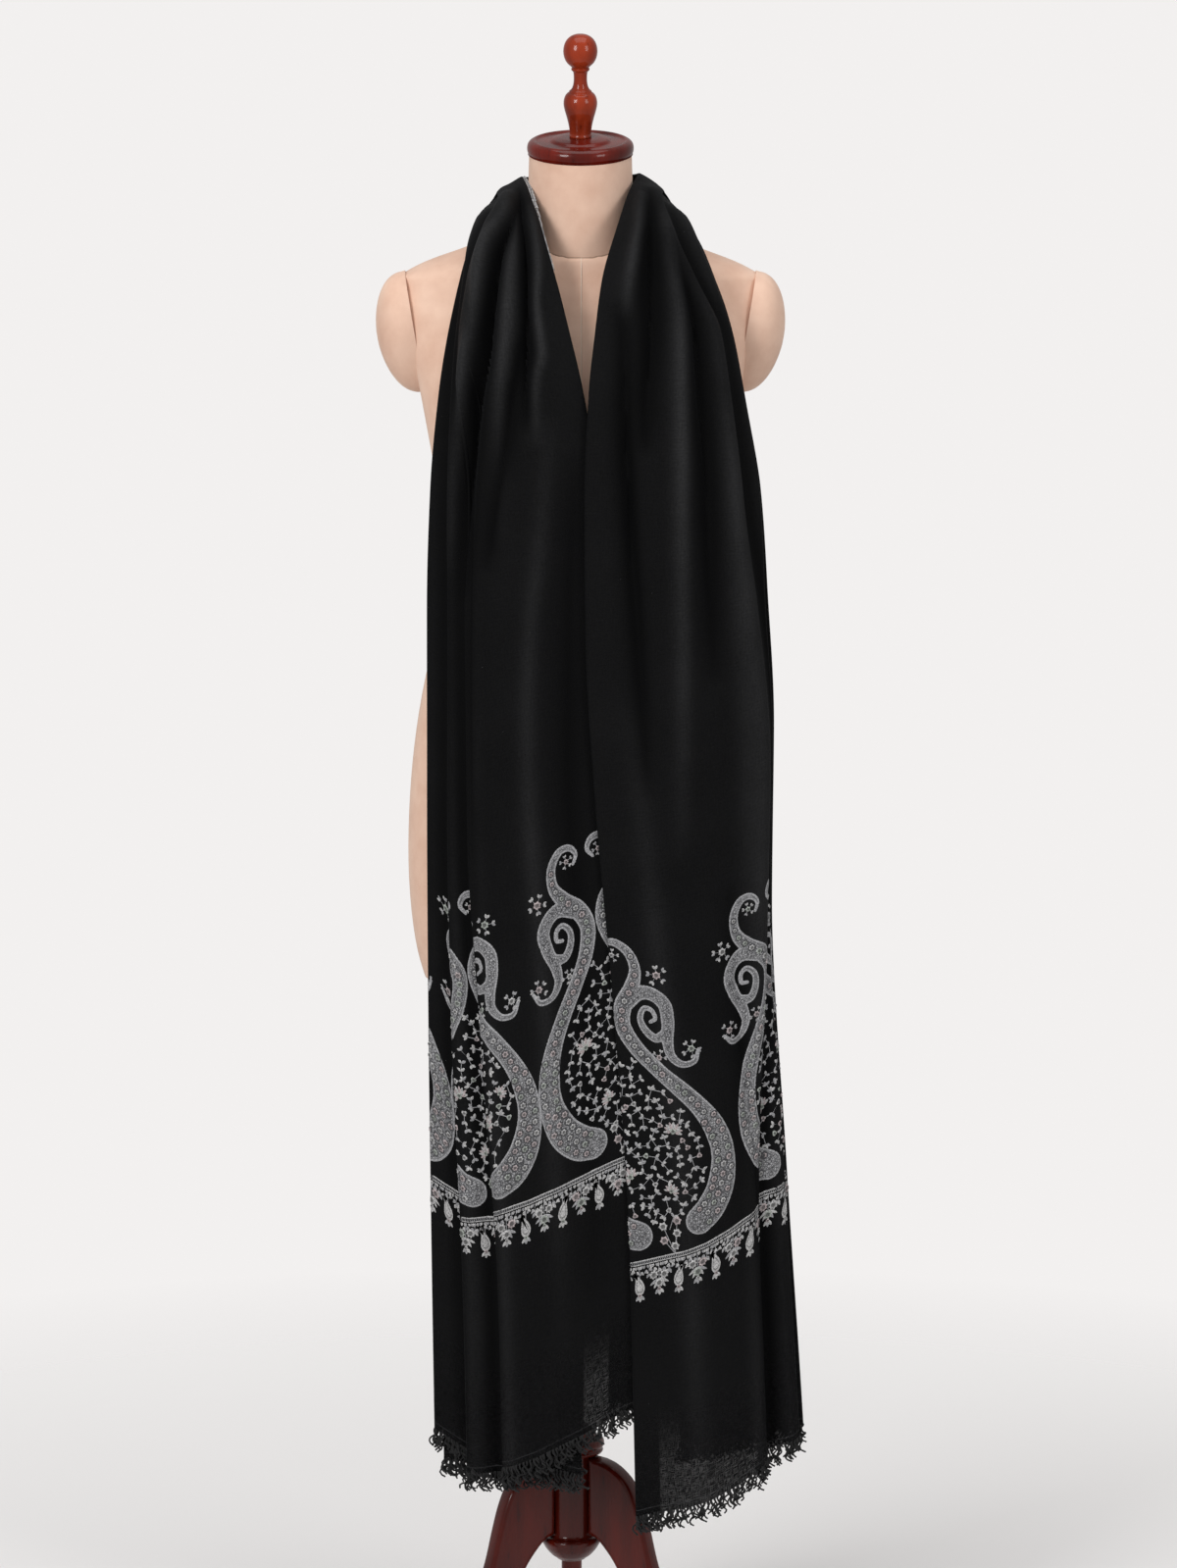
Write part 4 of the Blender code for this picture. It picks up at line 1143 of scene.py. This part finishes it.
def clipped(points, sides, rings, tints, edges, fromX, toX):
    # drops each face that reaches past the cloth's end of the stretch, and the points that only it used
    within = (points[:, 0] >= fromX) & (points[:, 0] <= toX)
    starts = np.concatenate([[0], np.cumsum(sides)[:-1]])
    keep = np.minimum.reduceat(within[rings].astype(int), starts).astype(bool)
    rings = rings[np.repeat(keep, sides)]
    used = np.zeros(len(points), bool)
    used[rings] = True
    return points[used], sides[keep], (np.cumsum(used) - 1)[rings], tints[used], edges[used]


def layOnCloth(points, end, face, origin):
    across, along, height = points.T
    distance = shawl["distance"]
    arc = shawl["arc"] - shawl["arc"][:, origin][:, None]
    at = along if end == "left" else shawl["total"] - along
    station = np.clip(np.searchsorted(distance, at, side="right") - 1, 0, len(distance) - 2)
    share = (at - distance[station]) / (distance[station + 1] - distance[station])
    laid = np.zeros_like(points)
    facing = np.zeros_like(points)
    for row in np.unique(station):
        mine = np.flatnonzero(station == row)
        for low, weight in ((row, 1 - share[mine]), (row + 1, share[mine])):
            place = np.interp(across[mine], arc[low], np.arange(arc.shape[1]))
            column = np.minimum(place.astype(int), arc.shape[1] - 2)
            part = (place - column)[:, None]
            for sums, source in ((laid, shawl["point"]), (facing, shawl["normal"])):
                between = source[low, column] * (1 - part) + source[low, column + 1] * part
                sums[mine] += between * weight[:, None]
    return laid + facing * (face * (cloth["wall"] / 2 + height))[:, None]


def faceOut(mesh, face):
    # the drawing turns over on one end and on the rear, so it is turned back where it faces the cloth
    normals = np.empty(len(mesh.polygons) * 3)
    mesh.polygons.foreach_get("normal", normals)
    if (normals.reshape(-1, 3)[:, 1].mean() > 0) == (face == "Front"):
        mesh.flip_normals()


def makeEmbroidery():
    made = {"left": [], "right": []}
    innerFold, outerFold, rear = shawl["innerFold"], shawl["outerFold"], shawl["rear"]
    for end, facts in ends.items():
        arc = shawl["arc"][borderStation if end == "left" else -borderStation]
        front = (bare["near"] - arc[innerFold], arc[outerFold] - arc[innerFold] + bare["turned"])
        back = (bare["fold"], arc[-1] - arc[rear] - bare["far"])
        stretches = (("Front", innerFold, *front), ("Rear", rear, *back))
        for face, origin, low, high in stretches:
            points, *rest = drawEnd(facts, low, high)
            name = f"embroidery{face}{end.capitalize()}"
            mesh = meshOf(name, points, *rest)
            laid = layOnCloth(points, end, 1 if face == "Front" else -1, origin)
            mesh.vertices.foreach_set("co", laid.ravel())
            mesh.update()
            faceOut(mesh, face)
            made[end].append(declared(addPiece(name, mesh, silver)))
            print(name, len(mesh.polygons), "faces")
    return made


embroidery = makeEmbroidery()
print("embroidery laid on")

# the fringe, two curly twisted yarns at every few warps

fringe = {
    "every": 0.0038,
    "length": 0.019,
    "yarn": 0.00092,
    "kinds": 9,
    "points": 13,
}


def curlyYarn(kind):
    # hangs down from the origin in loose curls
    draw = random.Random(100 + kind)
    length = fringe["length"] * draw.uniform(0.75, 1.1)
    turns, phase, curl = draw.uniform(0.9, 2.1), draw.uniform(0, 6.28), draw.uniform(0.0018, 0.0038)
    drift = draw.uniform(-0.005, 0.005)
    points = []
    for share in np.arange(fringe["points"]) / (fringe["points"] - 1):
        angle = phase + turns * 2 * math.pi * share
        wide = curl * share ** 0.7
        points.append((wide * math.cos(angle) + drift * share ** 2, wide * math.sin(angle), -length * share))
    mesh = roundCord(points, fringe["yarn"], 1, capped=True)
    shape = bmesh.new()
    shape.from_mesh(mesh)
    bpy.data.meshes.remove(mesh)
    return stitchOf(shape)


def makeFringe():
    kinds = [curlyYarn(kind) for kind in range(fringe["kinds"])]
    made = {}
    for end, edge, inside in (("left", 0, 1), ("right", -1, -2)):
        work = Needlework()
        arc, hem, above = shawl["arc"][edge], shawl["point"][edge], shawl["point"][inside]
        for a in np.arange(0.002, arc[-1], fringe["every"]):
            place = np.interp(a + seeds.uniform(-0.0008, 0.0008), arc, np.arange(len(arc)))
            column = min(int(place), len(arc) - 2)
            start = Vector(hem[column]).lerp(hem[column + 1], place - column)
            down = Vector(hem[column] - above[column]).normalized()
            across = Vector(hem[column + 1] - hem[column]).normalized()
            hang = (down + Vector((0, 0, -1.2))).normalized().to_track_quat("-Z", "Y").to_matrix().to_4x4()
            for ply in (-1, 1):
                leans = [Matrix.Rotation(seeds.uniform(-0.28, 0.28), 4, axis) for axis in "XY"]
                spot = Matrix.Translation(start - down * 0.0008 + across * ply * 0.0005)
                work.place(seeds.choice(kinds), spot @ leans[0] @ leans[1] @ hang, "undyed")
        mesh = meshOf("fringe" + end.capitalize(), *work.joined())
        made[end] = declared(addPiece(mesh.name, mesh, yarn), "fringe_" + end)
        print(mesh.name, len(mesh.polygons), "faces")
    return made


tufts = makeFringe()


selvedge = {"fromRow": 8.2, "toRow": 11.0, "wide": 0.0056, "every": 0.0016}


def makeSelvedge():
    # the worked edge of the cloth peeps out past its inner fold beside the neck
    work = Needlework()
    low, high = selvedge["fromRow"], selvedge["toRow"]
    row, column = shawl["row"], shawl["innerFold"] - 1
    for station in np.flatnonzero((row > low) & (row < high)):
        here, ahead = shawl["point"][station], shawl["point"][station + 1]
        wide = selvedge["wide"] * math.sin(math.pi * (row[station] - low) / (high - low)) ** 0.35
        out = Vector(here[column] - here[column + 4]).normalized()
        along = Vector(ahead[column] - here[column])
        steps = max(1, round(along.length / selvedge["every"]))
        up = out.cross(along).normalized()
        turn = Matrix((out, along.normalized(), up)).transposed().to_4x4()
        for i in range(steps):
            start = Vector(here[column]) + along * (i / steps) + out * 0.0005 - up * 0.0008
            for reach, kind in ((0.30, leaf), (0.72, leaf), (0.97, thread)):
                spot = Matrix.Translation(start + out * wide * (reach - 0.25)) @ turn
                angle = seeds.uniform(-0.6, 0.6) if kind is leaf else 1.57
                size = Matrix.Diagonal((0.0024, 0.0017 if kind is leaf else 0.0008, 1, 1))
                work.place(kind, spot @ Matrix.Rotation(angle, 4, "Z") @ size, tintFor())
    mesh = meshOf("selvedge", *work.joined())
    return declared(addPiece(mesh.name, mesh, silver))


selvedgeStrip = makeSelvedge()


print("fringe made and cloth declared")


# the velvet form

def refined(name, node, creaseAngle):
    shape = bmesh.new()
    shape.from_mesh(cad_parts[node].data)
    bmesh.ops.remove_doubles(shape, verts=shape.verts, dist=0.00002)
    bmesh.ops.join_triangles(shape, faces=shape.faces, angle_face_threshold=math.radians(30),
                             angle_shape_threshold=math.radians(60))
    crease = shape.edges.layers.float.new("crease_edge")
    for edge in shape.edges:
        if edge.calc_face_angle(0.0) > math.radians(creaseAngle):
            edge[crease] = 1.0
    piece = addPiece(name, shape, velvet)
    rounder = piece.modifiers.new("rounder", "SUBSURF")
    rounder.levels = rounder.render_levels = 2
    settled(piece, 30)
    return declared(piece, node)


seams = {
    "cord": 0.0007,
    "tuck": 0.0065,         # how far a shoulder cap's base goes into the body
    "facing": 0.8,
    "neckLow": 1.495,
    "neckHigh": 1.560,
    "ringPoints": 96,
    "low": 0.80,
    "high": 1.52,
}


def seamCord(name, points, material, closed):
    mesh = roundCord(points, seams["cord"], 2, closed)
    declared(addPiece(name, mesh, material))


def formSeams(torso, neck):
    trees = {"torso": castTree(torso.data), "neck": castTree(neck.data)}

    def reach(name, start, way):
        hit = trees[name].ray_cast(start, way)
        return hit[3] if hit[0] else 9.0

    # the neck's seam is where a line towards the neck stops meeting the body first
    low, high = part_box("form_neck")
    ring = []
    for i in range(seams["ringPoints"]):
        angle = i * 2 * math.pi / seams["ringPoints"]
        way = Vector((math.cos(angle), math.sin(angle), 0))
        for z in np.arange(seams["neckHigh"] + 0.02, seams["neckLow"], -0.0008):
            start = Vector(((low.x + high.x) / 2, (low.y + high.y) / 2, z)) + way * 0.3
            body = reach("torso", start, -way)
            if body < reach("neck", start, -way):
                ring.append(start - way * (min(body, 0.3) - 0.0002))
                break
    # the neck seam's cord is coloured as painted shadow
    seamCord("neckSeam", ring, paintedSeamShadow, True)
    for name, side, toward in (("frontSeam", -0.6, 1), ("backSeam", 0.6, -1)):
        hits = [trees["torso"].ray_cast(Vector((middle.x + 0.001, side, z)), (0, toward, 0))[0]
                for z in np.arange(seams["low"], seams["high"], 0.006)]
        line = [hit - Vector((0, toward * 0.0001, 0)) for hit in hits if hit]
        seamCord(name, line, paleSeam, False)


def tuckRim(cap, side):
    # the cap's flat base goes on into the body, so that its rim closes on the armhole
    shape = bmesh.new()
    shape.from_mesh(cap.data)
    base = [face for face in shape.faces if face.normal.x * side > seams["facing"]]
    inward = sum((face.normal for face in base), Vector()).normalized()
    rim = list({vert for face in base for vert in face.verts})
    bmesh.ops.translate(shape, verts=rim, vec=inward * seams["tuck"])
    shape.to_mesh(cap.data)
    shape.free()


def makeForm():
    formSeams(refined("velvetTorso", "form_torso", 24), refined("velvetNeck", "form_neck", 50))
    for name, side in (("Left", 1), ("Right", -1)):
        tuckRim(refined("velvetCap" + name, "form_shoulder_cap_" + name.lower(), 60), side)


# turned wood

turning = {
    "tilt": math.radians(13),
    "neckTop": (0, -0.0143, 1.615),
    "steps": 72,
    "pointStep": 0.0011,
    "smallest": 0.0004,
    # (radius, height) from the bottom up, in millimetres
    "cap": ((0.5, 0.3), (49.5, 0.3), (52.8, 1), (54.5, 3.5), (54.9, 6.5), (54.5, 9.8), (53, 12.5),
            (50.5, 14.3), (48.5, 15), (46.6, 14.9), (45.5, 13.8), (44, 13.4), (40, 13.6), (34, 13.9),
            (31.8, 14.2), (30.3, 15.6), (28.5, 16.6), (25.5, 17.2), (20, 17.9), (11.8, 18.1), (0.5, 18.1)),
    "finial": ((0.5, 18.3), (11.2, 18.3), (11.7, 19.5), (11, 21.5), (11.2, 25), (12.2, 31), (14, 38.5),
               (16, 45.5), (17.2, 51.5), (17, 56.5), (15.6, 60.8), (13.4, 63.6), (11.8, 64.6), (11.4, 66),
               (10.3, 66.8), (8.6, 69), (7.3, 73), (6.8, 78), (7, 83.5), (7.7, 86.2), (9.2, 87.4),
               (9.5, 88.8), (8.6, 90), (10.3, 91.8), (14, 95.5), (16.5, 100.5), (17.5, 106.5),
               (16.8, 112.5), (14.5, 117.8), (10.5, 121.8), (5.5, 124), (0.5, 124.5)),
    "hub": ((0.5, 124.5), (11, 124.5), (14.5, 125.2), (17, 127.2), (21.5, 130.5), (26.8, 136.5),
            (30.5, 142.5), (32.1, 146), (31.8, 148.8), (29.5, 150.7), (26.2, 151.5), (24.6, 153.5),
            (24.4, 160), (24.4, 200), (24.4, 237), (25, 239.8), (27.5, 240.8), (30.5, 241.4), (32.8, 242.5),
            (34, 245), (32.8, 247.4), (33, 248.2), (34.9, 250), (35.2, 253), (34.2, 256.5), (31.8, 258.5),
            (29, 259.7), (26.2, 262.5), (23.2, 266.8), (19, 270.5), (15.2, 272.8), (13.5, 274.2),
            (0.5, 274.2)),
    "pole": ((0.5, 274.5), (13.3, 274.5), (13.6, 276), (13.6, 400), (13.6, 600), (13.6, 756.7),
             (0.5, 756.7)),
}


def turnedPiece(name, node, profile, place, material):
    line = smoothLine(millimetres(profile), turning["pointStep"])
    line[:, 0] = np.maximum(line[:, 0], turning["smallest"])
    shape = bmesh.new()
    points = [shape.verts.new((radius, 0, height)) for radius, height in line]
    edges = [shape.edges.new(pair) for pair in zip(points, points[1:])]
    bmesh.ops.spin(shape, geom=points + edges, cent=(0, 0, 0), axis=(0, 0, 1), angle=2 * math.pi,
                   steps=turning["steps"], use_merge=True)
    bmesh.ops.remove_doubles(shape, verts=shape.verts, dist=0.00001)
    bmesh.ops.holes_fill(shape, edges=[edge for edge in shape.edges if edge.is_boundary])
    bmesh.ops.recalc_face_normals(shape, faces=shape.faces)
    bmesh.ops.transform(shape, matrix=place, verts=shape.verts)
    declared(addPiece(name, shape, material, 48), node)


def makeTurnings():
    neckTop = Vector(turning["neckTop"]) + middle
    tipped = Matrix.Translation(neckTop) @ Matrix.Rotation(turning["tilt"], 4, "X")
    upright = Matrix.Translation(poleFoot)
    turnedPiece("turnedCap", "neck_cap", turning["cap"], tipped, capWood)
    turnedPiece("turnedFinial", "finial", turning["finial"], tipped, turnedWood)
    turnedPiece("turnedHub", "hub", turning["hub"], upright, legWood)
    turnedPiece("turnedPole", "pole", turning["pole"], upright, legWood)


legs = {
    "thickness": 0.022,
    "edge": 0.0052,
    "edgeParts": 4,
    "pointStep": 0.006,
    "headings": {"legLeft": 210, "legRight": -30, "legBack": 90},
    "nodes": {"legLeft": "leg_left", "legRight": "leg_right", "legBack": "leg_back"},
    # (distance from the pole, height) down the back and up the front, in millimetres, in runs that
    # meet at corners
    "runs": (
        ((25.2, 240), (40, 238.5), (57, 232), (74, 217), (85, 195), (93, 168), (103, 130), (118, 93),
         (143, 60), (175, 39), (210, 30), (233, 24), (242, 12), (236, 0)),
        ((236, 0), (185, 0)),
        ((185, 0), (152, 11), (118, 35), (90, 68), (73, 100), (57, 129), (40, 149), (33, 154), (25.2, 156)),
    ),
}


def makeLegs():
    runs = [millimetres(run) for run in legs["runs"]]
    outline = np.vstack([*(smoothLine(run, legs["pointStep"])[:-1] for run in runs), runs[-1][-1:]])
    for name, heading in legs["headings"].items():
        shape = bmesh.new()
        face = shape.faces.new([shape.verts.new((r, -legs["thickness"] / 2, z)) for r, z in outline])
        grown = bmesh.ops.extrude_face_region(shape, geom=[face])["geom"]
        moved = [v for v in grown if isinstance(v, bmesh.types.BMVert)]
        bmesh.ops.translate(shape, verts=moved, vec=(0, legs["thickness"], 0))
        rims = [e for e in shape.edges if abs(e.verts[0].co.y - e.verts[1].co.y) < 1e-6]
        bmesh.ops.bevel(shape, geom=rims, offset=legs["edge"], offset_type="OFFSET", affect="EDGES",
                        segments=legs["edgeParts"], profile=0.5, material=-1)
        bmesh.ops.recalc_face_normals(shape, faces=shape.faces)
        turn = Matrix.Rotation(math.radians(heading), 4, "Z")
        bmesh.ops.transform(shape, matrix=Matrix.Translation(poleFoot) @ turn, verts=shape.verts)
        declared(addPiece(name, shape, legWood, 40), legs["nodes"][name])


makeForm()
makeTurnings()
makeLegs()
print("form and stand made")

# stage, light and camera

def makeStage():
    # a round paper floor, which thins out to nothing before its rim shows
    shape = bmesh.new()
    bmesh.ops.create_circle(shape, cap_ends=True, segments=96, radius=stage["radius"])
    bmesh.ops.translate(shape, verts=shape.verts, vec=(middle.x, middle.y, -stage["drop"]))
    addPiece("floorPaper", shape, paperMaterial())


studio = {
    "glow": (0.46, 0.455, 0.453, 1),
    "backdrop": (0.89, 0.872, 0.865, 1),
    # (place, aim, size, power)
    "keySoftbox": ((-2.3, -3.4, 2.5), (0, 0, 1.2), (1.3, 1.8), 100),
    "fillSoftbox": ((2.6, -2.8, 2.3), (0, 0, 1.1), (1.2, 1.8), 36),
    "topSoftbox": ((0.0, -0.6, 3.9), (0, 0, 1.0), (2.4, 2.0), 30),
}


def addLight(name, place, aim, size, power):
    lamp = bpy.data.lights.new(name, "AREA")
    lamp.shape = "RECTANGLE"
    lamp.size, lamp.size_y = size
    lamp.energy = power
    light = bpy.data.objects.new(name, lamp)
    light.location = place
    light.rotation_euler = (Vector(aim) - Vector(place)).to_track_quat("-Z", "Y").to_euler()
    scene.collection.objects.link(light)


def makeLights():
    world = bpy.data.worlds.new("studio")
    scene.world = world
    world.use_nodes = True
    background = world.node_tree.nodes["Background"]
    # the pale backdrop is seen by the camera alone
    seen = Wire(world.node_tree).node("ShaderNodeLightPath")
    plug(seen.mixed(studio["glow"], studio["backdrop"]), background, "Color")
    for name in ("keySoftbox", "fillSoftbox", "topSoftbox"):
        addLight(name, *studio[name])


view = {"place": (0.0083, -5.0, 1.59), "aimHeight": 0.96, "lens": 110.3}


def makeCamera():
    lens = bpy.data.cameras.new("camera")
    lens.lens = view["lens"]
    lens.sensor_width = 36.0
    lens.sensor_fit = "AUTO"
    camera = bpy.data.objects.new("camera", lens)
    camera.location = Vector(view["place"]) + middle
    aim = Vector((view["place"][0], 0, view["aimHeight"])) + middle
    camera.rotation_euler = (aim - camera.location).to_track_quat("-Z", "Y").to_euler()
    scene.collection.objects.link(camera)
    scene.camera = camera


makeStage()
makeLights()
makeCamera()
scene.view_settings.view_transform = "Standard"
print("stage, lights and camera ready")
